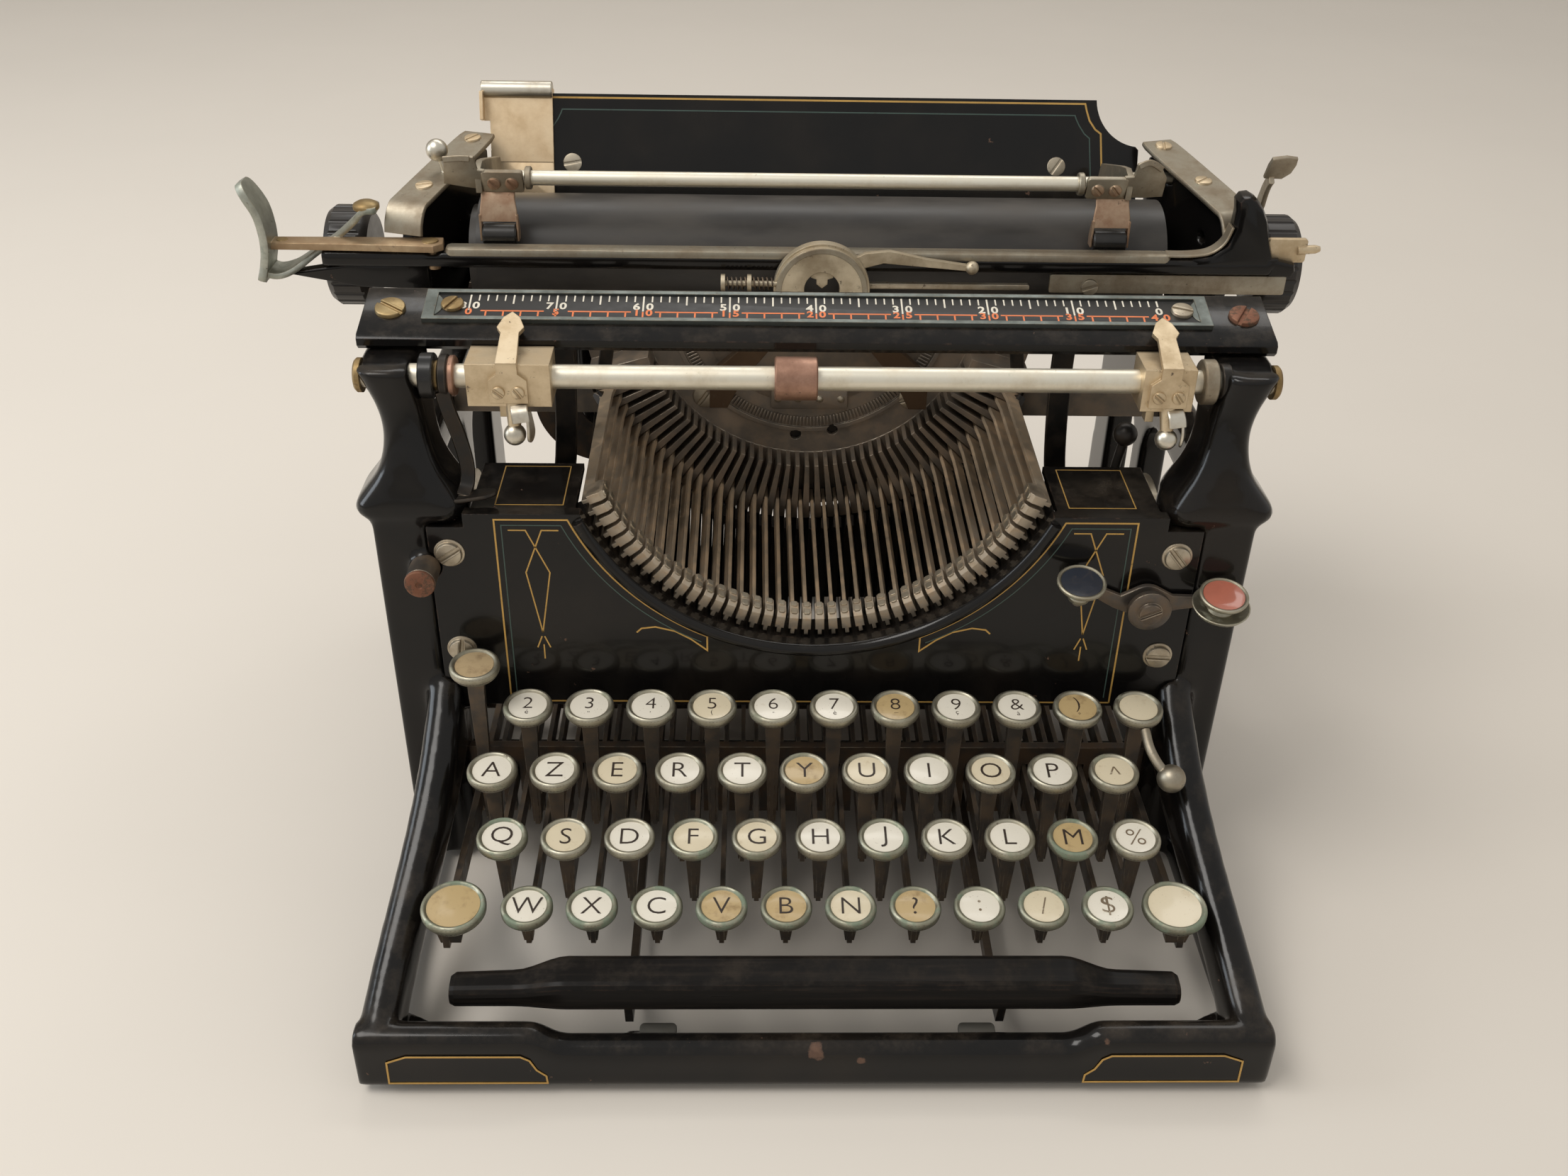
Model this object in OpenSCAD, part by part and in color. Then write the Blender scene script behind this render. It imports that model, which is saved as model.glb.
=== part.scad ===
// Front-strike office typewriter with an open typebar basket and a sliding carriage.
// Millimetres, +Z up, the typist sits at -Y, and the table is at Z = 0.

/* [Base] */
// Front edge of the base to the origin
base_front = 136; // [132:1:142]
// Rear edge of the base to the origin
base_back = 136; // [130:1:146]
// Gap between the table and the casting, which the feet fill
foot_lift = 3; // [2:0.5:5]
// Diameter of each rubber foot
foot_d = 16; // [12:1:18]
// Depth of the front bar, front to back
bar_d = 9; // [7:0.5:12]
// Height of the front bar at its middle
bar_h = 15; // [12:0.5:16]
// Height of the front bar at its two raised ends
bar_end_h = 20; // [18:0.5:24]
// Width of each raised end of the front bar
bar_end_w = 50; // [40:1:60]
// Thickness of the side walls
wall_t = 10; // [8:0.5:12]
// Height of the side walls and of the front plate above the table
wall_top = 137; // [133:1:140]
// Width of the arms that climb beside the keys
arm_w = 11.5; // [10:0.5:12.5]
// Air between a shift key and the arm beside it
side_gap = 4; // [3.5:0.1:5]

/* [Keyboard] */
// Distance between two neighbouring keys of a row
key_pitch = 19.05; // [18.5:0.05:19.3]
// Step up from one row to the next
row_rise = 11.26; // [10:0.1:12]
// Step back from one row to the next
row_run = 17.44; // [16.8:0.1:18.5]
// Height of the tops of the figure keys
key_top_z = 76; // [74:0.5:78]
// Distance of the figure row in front of the origin
key_row_y = 50; // [49:0.5:52]
// Diameter of a key ring
key_d = 15.2; // [13:0.2:16]
// Height of a key ring
key_h = 4.6; // [4:0.2:6]
// Width of the rolled lip of a key ring
key_lip = 1.3; // [1:0.1:1.8]
// Forward tilt of the key tops
key_tilt = 5; // [0:1:8]
// Diameter of the two shift keys
shift_d = 19; // [17:0.5:20]
// Distance of the shift keys from the middle
shift_x = 106.4; // [105:0.2:107]
// Thickness of a key lever
lever_t = 1.5; // [1.2:0.1:1.6]
// Height of a key lever
lever_h = 7; // [6:0.5:8]
// Height of the lever shaft above the table
lever_z = 31; // [30:0.5:32]
// Distance of the lever shaft behind the origin
lever_shaft_y = 100; // [94:1:104]
// Diameter of the lever shaft
lever_shaft_d = 5; // [4:0.5:6]
// Length of the space bar
space_w = 212; // [200:1:214]

/* [Basket] */
// Number of typebars
bar_count = 42; // [36:2:42]
// Radius from the basket axis to the typebar pivots
basket_r = 74; // [72:0.5:76]
// Height of the basket axis
basket_z = 166; // [164:0.5:168]
// Distance of the typebar pivots behind the origin
pivot_y = 52; // [51:0.5:53]
// Angle from the middle to the last typebar on each side
fan_half = 68; // [60:1:70]
// Length of a typebar from its pivot to the middle of its type
typebar_l = 80; // [76:0.5:81]
// Thickness of a typebar
typebar_t = 1.2; // [0.9:0.1:1.3]
// Width of the type block at the head
slug_w = 2.8; // [2.2:0.1:3]
// Diameter of the curved pivot wire
wire_d = 1.6; // [1.2:0.1:1.8]

/* [Front plate and rail] */
// Thickness of the front plate
plate_t = 4; // [3:0.5:4.5]
// Height of the lower edge of the front plate
plate_low = 67; // [64:1:70]
// Radius of the scoop in the front plate
scoop_r = 76.5; // [76.5:0.5:80]
// Radius of the rolled rim round the scoop
rim_r = 1.6; // [1.2:0.1:2.4]
// Height of the underside of the scale rail
rail_z = 180; // [179:0.5:182]
// Depth of the scale rail, front to back
rail_d = 24; // [22:0.5:25]
// Diameter of the margin stop rod
rod_d = 7; // [6:0.5:8]

/* [Carriage] */
// Place of the carriage middle, left or right of the machine's
carriage_x = 4; // [2:0.5:5]
// Radius of the rubber platen
platen_r = 21.5; // [20:0.5:21.5]
// Length of the rubber platen
platen_l = 232; // [224:1:234]
// Distance of the platen axis behind the origin
platen_y = 80; // [80:0.5:82]
// Height of the platen axis
platen_z = 172; // [171:0.5:173]
// Diameter of the platen shaft
shaft_d = 8; // [6:0.5:9]
// Radius of the platen knobs
knob_r = 17; // [14:0.5:18]
// Width of the paper table
table_w = 230; // [220:1:232]
// Height of the top edge of the paper table
table_top = 217; // [213:1:222]
// Diameter of the round rail that carries the carriage
track_d = 9; // [8:0.5:10]

/* [Fits] */
// Running clearance of shafts, pins and bores, on the radius
run_gap = 0.06; // [0.03:0.01:0.1]
// Clearance beside a lever or a typebar in its slot
slot_gap = 0.35; // [0.3:0.05:0.4]
// Air left between pieces that pass each other
air = 0.6; // [0.4:0.1:0.8]

/* [Hidden] */
$fn = 48;
half_w = shift_x + shift_d / 2 + side_gap + arm_w + 0.6;
base_w = 2 * half_w;
wall_x = half_w - wall_t;
plate_w = base_w - 32;
plate_y = -38;
plate_back = plate_y + plate_t;
lever_lo = lever_z - lever_h / 2;
bar_step = 2 * fan_half / (bar_count - 1);
strike = bar_count / 2;
row_start = [-88.7, -98.2, -93.7, -85.0];
row_keys = [10, 11, 11, 10];
rail_front = -18;
rail_back = rail_front + rail_d;
rail_rise = 4.2;
rail_peak = 10;
rail_slope = atan2(rail_peak - rail_rise - 0.4, rail_d - 3);
rod_y = -25;
rod_z = 175.5;
guide_x = 3;
guide_y = 42;
guide_t = 5;
guide_r = 15;
guide_z = 175;
front_y = 48;
front_d = 6.5;
front_z = platen_z + 7.5;
front_h = 5.5;
shoe_gap = 2.5;
shoe_half = 7;
track_y = platen_y + platen_r + shoe_gap + shoe_half;
track_z = platen_z - 12;
beam_z = track_z - 22;
space_shaft_y = 10;
space_shaft_z = 11;
shift_shaft_y = 30;
shift_shaft_z = 16;
cross_d = 5;
shift_lever_x = wall_x - 12.8;
tab_x = 101.9;
backspace_x = -104.2;
selector_x = plate_w / 2 - 14.5;
selector_z = 108.5;
bail_y = 62;
bail_z = platen_z + 33.5;
bail_x = carriage_x - 6.5;
bail_arm_x = 106;
bail_hinge_y = 96;
bail_hinge_z = platen_z + 25;
hinge_d = 4;
finger_x = 100.5;
roller_r = 5;
roller_l = 15;
roller_a = 41;
roller_y = platen_y - (platen_r + roller_r + air) * cos(roller_a);
roller_z = platen_z + (platen_r + roller_r + air) * sin(roller_a);
end_front_x = 140;
end_rear_x = 120;
end_front_y = front_y;
end_rear_y = track_y + 1;
end_low = platen_z - 8;
end_high = platen_z + 25;
end_t = 5;
end_turn = atan2(end_front_x - end_rear_x, end_rear_y - end_front_y);
knob_in = 150;
knob_l = 15;
knob_left = 4;
tray_y = 59.5;
tray_z = platen_z - 26;
tray_t = 1.5;
rear_bar_y = end_rear_y - 9;
rear_bar_z = end_low + 2.5;
rear_bar_h = 8;
ring_y = 4;
ring_t = 1.8;
tooth_in = basket_r - 17;
lever_px = carriage_x - 128;
lever_py = front_y + 3.2;
lever_reach = 46;
spool_y = 14;
spool_z = 98;
spool_x = half_w - 25;
stud_d = 8.5;
stud_x = -plate_w / 2 - 1.4;
stud_z = wall_top - 18;
release_y = platen_y - 7;
release_z = platen_z + 12;
drum_x = -78;
drum_z = 100;
blade_out = 15;
machine_x = (blade_out + 1.5 - lever_px + lever_reach - carriage_x - knob_in - knob_l) / 2;
table_low_y = rear_bar_y + 3;
table_low_z = rear_bar_z + rear_bar_h + 1.5;
table_lean = 20;
table_t = 2;

function ease(t) = t * t * (3 - 2 * t);
function mix(a, b, t) = a + (b - a) * t;
// A smooth curve through equally spaced values
function curve(v, t) =
  let (n = len(v) - 1, i = min(floor(t * n), n - 1), f = t * n - i)
  let (a = v[max(i - 1, 0)], b = v[i], c = v[i + 1], d = v[min(i + 2, n)])
  b + f / 2 * (c - a + f * (2 * a - 5 * b + 4 * c - d + f * (3 * b - 3 * c + d - a)));
function arc(cx, cy, r, a0, a1, n) =
  [for (i = [0 : n]) [cx + r * cos(mix(a0, a1, i / n)), cy + r * sin(mix(a0, a1, i / n))]];
function ring(w, d, r, n) = concat(
  arc(w / 2 - r, d / 2 - r, r, 0, 90, n), arc(r - w / 2, d / 2 - r, r, 90, 180, n),
  arc(r - w / 2, r - d / 2, r, 180, 270, n), arc(w / 2 - r, r - d / 2, r, 270, 360, n));
function key_x(row, col) = row_start[row] + key_pitch * col;
function key_y(row) = -key_row_y - row_run * row;
function key_z(row) = key_top_z - row_rise * row;

// Joins a stack of equal rings into one closed solid
module skin(rings) {
  n = len(rings[0]);
  m = len(rings);
  polyhedron(
    points = [for (r = rings) each r],
    faces = concat([[for (i = [0 : n - 1]) i]], [[for (i = [0 : n - 1]) m * n - 1 - i]],
      [for (k = [0 : m - 2], i = [0 : n - 1])
        [k * n + i, (k + 1) * n + i, (k + 1) * n + (i + 1) % n, k * n + (i + 1) % n]]),
    convexity = 6);
}

// A round bar along X from x0 to x1
module bar_x(x0, x1, y, z, d) {
  translate([x0, y, z]) rotate([0, 90, 0]) cylinder(h = x1 - x0, d = d);
}

// A flat outline in Y and Z, given thickness along X about x
module slab_x(x, t) {
  translate([x - t / 2, 0, 0]) rotate([90, 0, 90]) linear_extrude(t) children();
}

// A flat outline in X and Z, given depth from y0 to y1
module slab_y(y0, y1) {
  translate([0, y1, 0]) rotate([90, 0, 0]) linear_extrude(y1 - y0) children();
}

module round_window(y0, z0, y1, z1, r) {
  translate([y0 + r, z0]) square([y1 - y0 - 2 * r, z1 - z0]);
  translate([y0, z0 + r]) square([y1 - y0, z1 - z0 - 2 * r]);
  for (y = [y0 + r, y1 - r])
    for (z = [z0 + r, z1 - r])
      translate([y, z]) circle(r);
}

// Base casting

function bar_ring(x, h) = [for (p = concat(
  [[-base_front, foot_lift], [bar_d - base_front, foot_lift]],
  arc(bar_d - base_front - 3, foot_lift + h - 3, 3, 0, 90, 4),
  arc(4.5 - base_front, foot_lift + h - 4, 4, 90, 180, 5))) [x, p[0], p[1]]];

module front_bar() {
  raise = 6;
  xs = concat([-half_w, bar_end_w - half_w], [for (i = [1 : raise]) bar_end_w - half_w + 10 * i / raise]);
  hs = concat([bar_end_h, bar_end_h], [for (i = [1 : raise]) mix(bar_end_h, bar_h, ease(i / raise))]);
  n = len(xs);
  skin(concat([for (i = [0 : n - 1]) bar_ring(xs[i], hs[i])],
    [for (i = [n - 1 : -1 : 0]) bar_ring(-xs[i], hs[i])]));
}

// The arm starts at the raised corner and climbs, drawing in, to the front post
module side_arm(s) {
  steps = 12;
  skin([for (i = [0 : steps])
    let (t = i / steps)
    let (y = mix(bar_d / 2 - base_front, plate_y - 0.2, t))
    let (top = mix(foot_lift + bar_end_h, plate_low + 11, 0.55 * t + 0.45 * t * t))
    let (low = mix(foot_lift, plate_low - 17, t))
    let (x = s * mix(half_w - 0.6 - arm_w / 2, wall_x - arm_w / 2, ease(t)))
    [for (p = ring(top - low, arm_w, arm_w / 2 - 0.4, 4)) [x + p[1], y, (top + low) / 2 + p[0]]]]);
}

module side_wall(s) {
  difference() {
    slab_x(s * (half_w - wall_t / 2), wall_t)
      difference() {
        polygon(concat([[plate_y, foot_lift], [base_back, foot_lift], [base_back, 52]],
          arc(base_back - 46, 110, 46, -20, 40, 8),
          [[track_y + 10, beam_z + 12], [track_y - 12, beam_z + 12], [track_y - 16, wall_top],
          [plate_y, wall_top]]));
        round_window(-14, 43.5, 62, wall_top - 14.5, 16);
        round_window(74, 46, 112, 116, 14);
      }
    bar_x(-half_w - 1, half_w + 1, shift_shaft_y, shift_shaft_z, cross_d + 2 * run_gap);
  }
}

module front_post(s) {
  x0 = plate_w / 2 - 12;
  translate([s > 0 ? x0 : -half_w, plate_back, plate_low - 6])
    cube([half_w - x0, 12, wall_top - plate_low + 6]);
  translate([s > 0 ? wall_x - 9 : -half_w, plate_back, foot_lift]) cube([wall_t + 9, 12, wall_top - 20]);
  translate([s > 0 ? plate_w / 2 + 0.2 : -half_w, plate_y, foot_lift])
    cube([half_w - plate_w / 2 - 0.2, plate_t + 1, wall_top - foot_lift]);
}

// The S-shaped column stands on the post with a flared foot and carries the scale rail
module column(s) {
  zs = [wall_top - 4, wall_top - 1, wall_top + 2, wall_top + 6, wall_top + 11, wall_top + 17,
    wall_top + 24, wall_top + 31, wall_top + 38, rail_z];
  ws = [27, 31, 31, 26, 19.5, 15, 13, 13.5, 15, 16];
  inset = [12, 11, 11, 11.5, 12, 12, 11.7, 10.5, 8.5, 7];
  ds = [20, 24, 24.5, 23.5, 22.5, 22, 22.5, 25, 30, 34];
  ys = [-27, -27, -27, -26.5, -26, -25, -23, -20.5, -18, -16.5];
  steps = 27;
  skin([for (i = [0 : steps])
    let (t = i / steps, x = s * (half_w - curve(inset, t)), y = curve(ys, t))
    [for (p = ring(curve(ws, t), curve(ds, t), 5.5, 5)) [x + p[0], y + p[1], curve(zs, t)]]]);
}

module foot_pad(x, y) {
  translate([x, y, foot_lift]) cylinder(h = 8, d = foot_d + 4);
}

foot_x = half_w - 11;
foot_y = [bar_d + 2 - base_front, base_back - 12];

module base_frame() {
  color("#1b1b1d") difference() {
    union() {
      front_bar();
      for (s = [-1, 1]) {
        side_arm(s);
        side_wall(s);
        front_post(s);
        column(s);
        translate([s > 0 ? half_w - 8 : 1 - half_w, bar_d - 1 - base_front, foot_lift])
          cube([7, base_front + plate_y - bar_d + 2, 7]);
        translate([s > 0 ? plate_w / 2 + 0.4 : -wall_x, plate_y - 1.2, plate_low - 12])
          cube([wall_x - plate_w / 2 - 0.4, 2, 18]);
        for (y = foot_y)
          foot_pad(s * foot_x, y);
      }
      translate([-half_w, base_back - 9, foot_lift]) cube([base_w, 9, 18]);
      translate([1 - half_w, track_y - 6, beam_z]) cube([base_w - 2, 12, 12]);
      slab_y(track_y - 2, track_y + 3) translate([drum_x, drum_z]) {
        circle(9);
        translate([-9, 0]) square([18, beam_z - drum_z + 1]);
      }
      for (x = [-50, 47])
        translate([x - 6, bar_d - 1 - base_front, 8]) cube([12, 4.5, 6]);
      translate([stud_x, plate_back + 2, stud_z]) rotate([90, 0, 0]) cylinder(h = plate_t + 12, d = stud_d);
    }
    for (s = [-1, 1], y = foot_y)
      translate([s * foot_x, y, foot_lift - 1]) cylinder(h = 7, d = 6.2);
    translate([drum_x, track_y + 10, drum_z]) rotate([90, 0, 0]) cylinder(h = 20, d = 6 + 2 * run_gap);
    bar_x(-half_w - 1, half_w + 1, rod_y, rod_z, rod_d);
    bar_x(-half_w - 1, half_w + 1, shift_shaft_y, shift_shaft_z, cross_d + 2 * run_gap);
  }
  color("#6a665d") bar_x(1 - half_w, half_w - 1, lever_shaft_y, lever_z, lever_shaft_d);
  color("#6a665d") bar_x(1 - half_w, half_w - 1, space_shaft_y, space_shaft_z, cross_d);
}

module rubber_feet() {
  color("#2a2a2a")
    for (s = [-1, 1], y = foot_y)
      translate([s * foot_x, y, 0]) {
        cylinder(h = foot_lift, d1 = foot_d - 3, d2 = foot_d);
        cylinder(h = foot_lift + 5, d = 6);
      }
}

// Front plate with its scoop, rolled rim and two flat ledges

module front_plate() {
  scoop_z = basket_z + 1;
  ledge_in = sqrt(pow(scoop_r, 2) - pow(scoop_z - wall_top, 2)) + rim_r;
  rim_a = asin((scoop_z - wall_top) / scoop_r) + 1;
  color("#1b1b1d") difference() {
    union() {
      slab_y(plate_y, plate_back)
        translate([-plate_w / 2, plate_low]) square([plate_w, wall_top - plate_low]);
      for (s = [-1, 1])
        translate([s > 0 ? ledge_in : -plate_w / 2 + 13, plate_y + 1, wall_top - 2.2])
          cube([plate_w / 2 - 13 - ledge_in, 31, 2.2]);
      translate([0, plate_y + 1, scoop_z]) rotate([90, 0, 0])
        rotate([0, 0, 180 + rim_a]) rotate_extrude(angle = 180 - 2 * rim_a)
          translate([scoop_r + rim_r - 0.6, 0]) circle(rim_r);
    }
    translate([0, plate_back + 40, scoop_z]) rotate([90, 0, 0]) cylinder(h = 80, r = scoop_r, $fn = 96);
    for (s = [-1, 1])
      translate([s > 0 ? half_w - 27 : -plate_w / 2 - 1, plate_y - 1, wall_top - 4.6])
        cube([plate_w / 2 - half_w + 28, plate_t + 2, 6]);
    translate([stud_x, plate_back + 1, stud_z]) rotate([90, 0, 0])
      cylinder(h = plate_t + 2, d = stud_d + 1.4);
    translate([selector_x, plate_back - 8, selector_z]) rotate([-90, 0, 0]) cylinder(h = 20, d = hinge_d);
  }
}

// Typebar basket

module sector(a0, a1, r0, r1) {
  polygon(concat(arc(0, 0, r0, a0, a1, 40), arc(0, 0, r1, a1, a0, 40)));
}

// Puts a child drawn along -Y with its inner edge up into the fan at an angle
module in_fan(a) {
  translate([0, pivot_y, basket_z]) rotate([0, -a, 0]) translate([0, 0, -basket_r]) children();
}

module segment_cut(a) {
  in_fan(a) translate([-typebar_t / 2 - slot_gap, -20, -6])
    cube([typebar_t + 2 * slot_gap, 19.8 + ring_y, basket_r - tooth_in + 12]);
}

module type_segment() {
  edge = 270 - fan_half - 6;
  far = 270 + fan_half + 6;
  color("#55504a") difference() {
    translate([0, pivot_y, basket_z]) union() {
      slab_y(-7, ring_y + 0.5) sector(edge, far, tooth_in, basket_r + 4);
      slab_y(ring_y, ring_y + ring_t) sector(edge - 14, far + 14, basket_r - 40, basket_r + 4);
      slab_y(ring_y - 0.8, ring_y + 0.5) sector(edge + 2, far - 2, basket_r - 27, basket_r - 25.5);
      for (s = [-1, 1])
        slab_y(-4, ring_y + ring_t)
          polygon([[s * 62, -26], [s * wall_x, -26], [s * wall_x, -38], [s * 66, -38]]);
    }
    for (i = [0 : bar_count - 1])
      segment_cut((i - (bar_count - 1) / 2) * bar_step);
    for (s = [-1, 1])
      translate([s * 36, pivot_y + 10, basket_z - 35]) rotate([90, 0, 0]) cylinder(h = 20, d = 3.2);
    translate([-4, pivot_y + 10, basket_z - 50]) rotate([90, 0, 0]) cylinder(h = 20, d = 4);
    translate([9, pivot_y + 10, basket_z - 48]) rotate([90, 0, 0]) cylinder(h = 20, d = 4);
  }
  color("#8a8478") translate([0, pivot_y, basket_z]) rotate([90, 0, 0])
    rotate([0, 0, edge]) rotate_extrude(angle = far - edge, $fn = 240)
      translate([basket_r, 0]) circle(d = wire_d, $fn = 20);
}

// One typebar lies along -Y from its pivot, with a heel, a step and a type block
module typebar(play) {
  slug_l = 8;
  slug_h = 3.8;
  difference() {
    slab_x(0, typebar_t)
      polygon(concat(arc(0, 0, 3.4, -60, 60, 8),
        [[-8, 3.0], [-14, 2.2], [4.5 - typebar_l, 1.8], [-typebar_l - 3, 1.8], [-typebar_l - 4, 0.5],
        [-typebar_l - 4, -1.6], [-14, -2.2], [-9, -3.4]]));
    bar_x(-3, 3, 0, 0, wire_d + 2 * play, $fn = 20);
  }
  translate([-slug_w / 2, -typebar_l - slug_l / 2, 0.2]) cube([slug_w, slug_l, 1.6]);
  slab_x(0, slug_w) polygon([[slug_l / 2 - typebar_l, 1.5], [slug_l / 2 - typebar_l, 1.8 + slug_h - 1.4],
    [slug_l / 2 - typebar_l - 1, 1.8 + slug_h], [-slug_l / 2 - typebar_l + 1, 1.8 + slug_h],
    [-slug_l / 2 - typebar_l, 1.8 + slug_h - 1.4], [-slug_l / 2 - typebar_l, 1.5]]);
}

module typebars() {
  color("#7a7468")
    for (i = [0 : bar_count - 1])
      if (i != strike)
        in_fan((i - (bar_count - 1) / 2) * bar_step) typebar(0);
}

module typebar_y() {
  color("#8c8678") in_fan(bar_step / 2) typebar(run_gap);
}

module typebar_rest() {
  lay = basket_r + 2.2 + slot_gap;
  color("#33302c") translate([0, 0, basket_z])
    slab_y(plate_back, pivot_y - typebar_l + 6) sector(270 - fan_half + 3, 270 + fan_half - 3, lay, lay + 4);
}

// Scale rail, scale and margin stops

module scale_rail() {
  color("#1b1b1d") slab_x(0, base_w + 4)
    polygon([[rail_front + 1.5, rail_z], [rail_back, rail_z], [rail_back, rail_z + rail_peak - 1],
      [rail_back - 1, rail_z + rail_peak], [rail_back - 2, rail_z + rail_peak],
      [rail_front + 1, rail_z + rail_rise + 0.4], [rail_front, rail_z + rail_rise - 0.6],
      [rail_front, rail_z + 1.5]]);
}

module margin_scale() {
  scale_l = base_w - 32;
  scale_d = 14.3;
  edge = 1.5;
  color("#9a968c") translate([0, rail_back - 2, rail_z + rail_peak]) rotate([rail_slope, 0, 0])
    translate([0, -scale_d - 1.8, 0]) difference() {
      translate([-scale_l / 2, 0, 0]) cube([scale_l, scale_d, 1.6]);
      translate([-scale_l / 2 + 3.5, edge, 0.8]) cube([scale_l - 7, scale_d - 2 * edge, 2]);
    }
}

module collar(x, l, d) {
  bar_x(x - l / 2, x + l / 2, rod_y, rod_z, d);
}

module stop_rod() {
  color("#a39c8c") {
    bar_x(-half_w - 2, half_w + 2, rod_y, rod_z, rod_d);
    collar(-7, 12, rod_d + 5);
    for (s = [-1, 1])
      collar(s * (half_w - 19.25), 3.9, rod_d + 5);
    collar(25 - half_w, 4.4, rod_d + 3);
    bar_x(-half_w - 4, -half_w - 1, rod_y, rod_z, rod_d + 4);
    bar_x(half_w + 1, half_w + 4, rod_y, rod_z, rod_d + 4);
  }
}

// A margin stop slides on the rod, points at the scale and has a thumb release below
module margin_stop(x, w) {
  grip = rod_d + 6;
  difference() {
    union() {
      translate([x - w / 2, rod_y - grip / 2, rod_z - grip / 2]) cube([w, grip, grip]);
      slab_y(rod_y - grip / 2 - 1.2, rod_y - grip / 2 + 0.4) translate([x, rod_z])
        polygon([[-5.5, -5], [5.5, -5], [5.5, 2], [3, 4], [3, grip / 2 + 1.2], [-3, grip / 2 + 1.2],
          [-3, 4], [-5.5, 2]]);
      translate([x, rod_y - grip / 2 - 1, rod_z + grip / 2 - 0.2]) rotate([20.5, 0, 0]) linear_extrude(1.4)
        polygon([[-3, 0], [3, 0], [2.6, 12.4], [3.9, 14.6], [2.4, 18.6], [0, 21], [-2.4, 18.6], [-3.9, 14.6],
          [-2.6, 12.4]]);
      translate([x + 1, rod_y - grip / 2 + 1.4, rod_z - grip / 2 + 1]) rotate([160, 0, 0])
        cylinder(h = 9, d1 = 5, d2 = 3.4);
      translate([x + 1, rod_y - grip / 2 - 1.7, rod_z - grip / 2 - 8]) sphere(d = 6);
      translate([x - 4, rod_y - 1, rod_z - grip / 2 - 6]) cube([2.4, 4, 7]);
    }
    bar_x(x - w, x + w, rod_y, rod_z, rod_d + 2 * run_gap);
  }
}

module margin_stop_left() {
  color("#a7a194") margin_stop(-89, 24);
}

module margin_stop_right() {
  color("#a7a194") margin_stop(100, 15);
}

// Type guide at the printing point

module type_guide() {
  jaw = 5.8;
  color("#a39f90") {
    difference() {
      translate([guide_x, guide_y + guide_t, guide_z]) rotate([90, 0, 0]) {
        cylinder(h = guide_t, r = guide_r);
        cylinder(h = guide_t - 1.6, r = guide_r + 0.8);
      }
      translate([guide_x - jaw, guide_y - 1, guide_z - 30]) cube([2 * jaw, guide_t + 2, 30]);
      translate([guide_x, guide_y + guide_t + 1, guide_z + 1]) rotate([90, 0, 0])
        cylinder(h = guide_t + 2, r = jaw);
    }
    slab_y(guide_y + 0.6, guide_y + 2.2) translate([guide_x, guide_z])
      polygon([[-3.6, 8], [-3.6, 4.8], [-1.8, 4.2], [-1.8, 2.6], [0, 1.2], [1.8, 2.6], [1.8, 4.2], [3.6, 4.8],
        [3.6, 8]]);
    for (s = [-1, 1])
      slab_y(guide_y, guide_y + 4) translate([guide_x, guide_z])
        polygon([[s * (jaw + 1), -8], [s * 13, -8], [s * 37, -30], [s * 37, -42], [s * 31, -42],
          [s * 26, -32]]);
    for (s = [-1, 1])
      translate([guide_x + s * 32, pivot_y + ring_y, guide_z - 36]) rotate([90, 0, 0])
        cylinder(h = pivot_y + ring_y - guide_y, d = 5);
    slab_y(guide_y + 2.5, guide_y + 4.5) translate([guide_x, guide_z])
      polygon([[9, 10], [14, 12.4], [22, 13.2], [34, 10.6], [48, 8.6], [48, 6.8], [34, 8], [20, 9.2],
        [12, 7]]);
    translate([guide_x + 49, guide_y + 3, guide_z + 7.8]) sphere(d = 4.4);
    bar_x(guide_x - pin_l, guide_x - guide_r + 3, pin_y, pin_z, 2);
    bar_x(guide_x - pin_l, guide_x - pin_l + pin_cap, pin_y, pin_z, 6);
    bar_x(guide_x - pin_mid - pin_cap, guide_x - pin_mid, pin_y, pin_z, 6);
  }
}

// Two little coil springs on the guide's side pin, each one unbroken wire
pin_y = guide_y + 2.2;
pin_z = guide_z + 2;
pin_l = 33;
pin_mid = 23;
pin_cap = 1.4;
spring_turns = 4.5;
spring_wire = 0.6;
spring_r = 1.9;
spring_sides = 6;
spring_steps = 14;

function coil_point(x0, l, t) =
  let (a = 360 * spring_turns * t)
  [x0 + l * t, pin_y + spring_r * cos(a), pin_z + spring_r * sin(a)];
function coil_ring(x0, l, t) =
  let (c = coil_point(x0, l, t), a = 360 * spring_turns * t)
  let (out = [0, cos(a), sin(a)])
  [for (k = [0 : spring_sides - 1])
    let (b = 360 * k / spring_sides)
    c + spring_wire / 2 * (cos(b) * out + sin(b) * [-1, 0, 0])];

module coil(x0, l) {
  n = ceil(spring_turns * spring_steps);
  skin([for (i = [0 : n]) coil_ring(x0, l, i / n)]);
}

module guide_springs() {
  left_x = pin_l - pin_cap - spring_wire / 2;
  right_x = pin_mid - spring_wire / 2;
  left_l = left_x - pin_mid - pin_cap - spring_wire / 2;
  right_l = right_x - guide_r - 1.1;
  echo("least gap of a spring to itself", min(left_l, right_l) / spring_turns - spring_wire);
  color("#8a8578") {
    coil(guide_x - left_x, left_l);
    coil(guide_x - right_x, right_l);
  }
}

// Keys and their levers

module key_head(d) {
  r = d / 2;
  rotate_extrude()
    polygon([[0, -key_h], [r - 2.6, -key_h], [r - 0.6, 1.4 - key_h], [r, 2.2 - key_h], [r, -0.5],
      [r - 0.4, 0], [r - key_lip + 0.3, 0], [r - key_lip, -0.4], [r - key_lip, -0.9], [0, -0.7]]);
}

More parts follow.
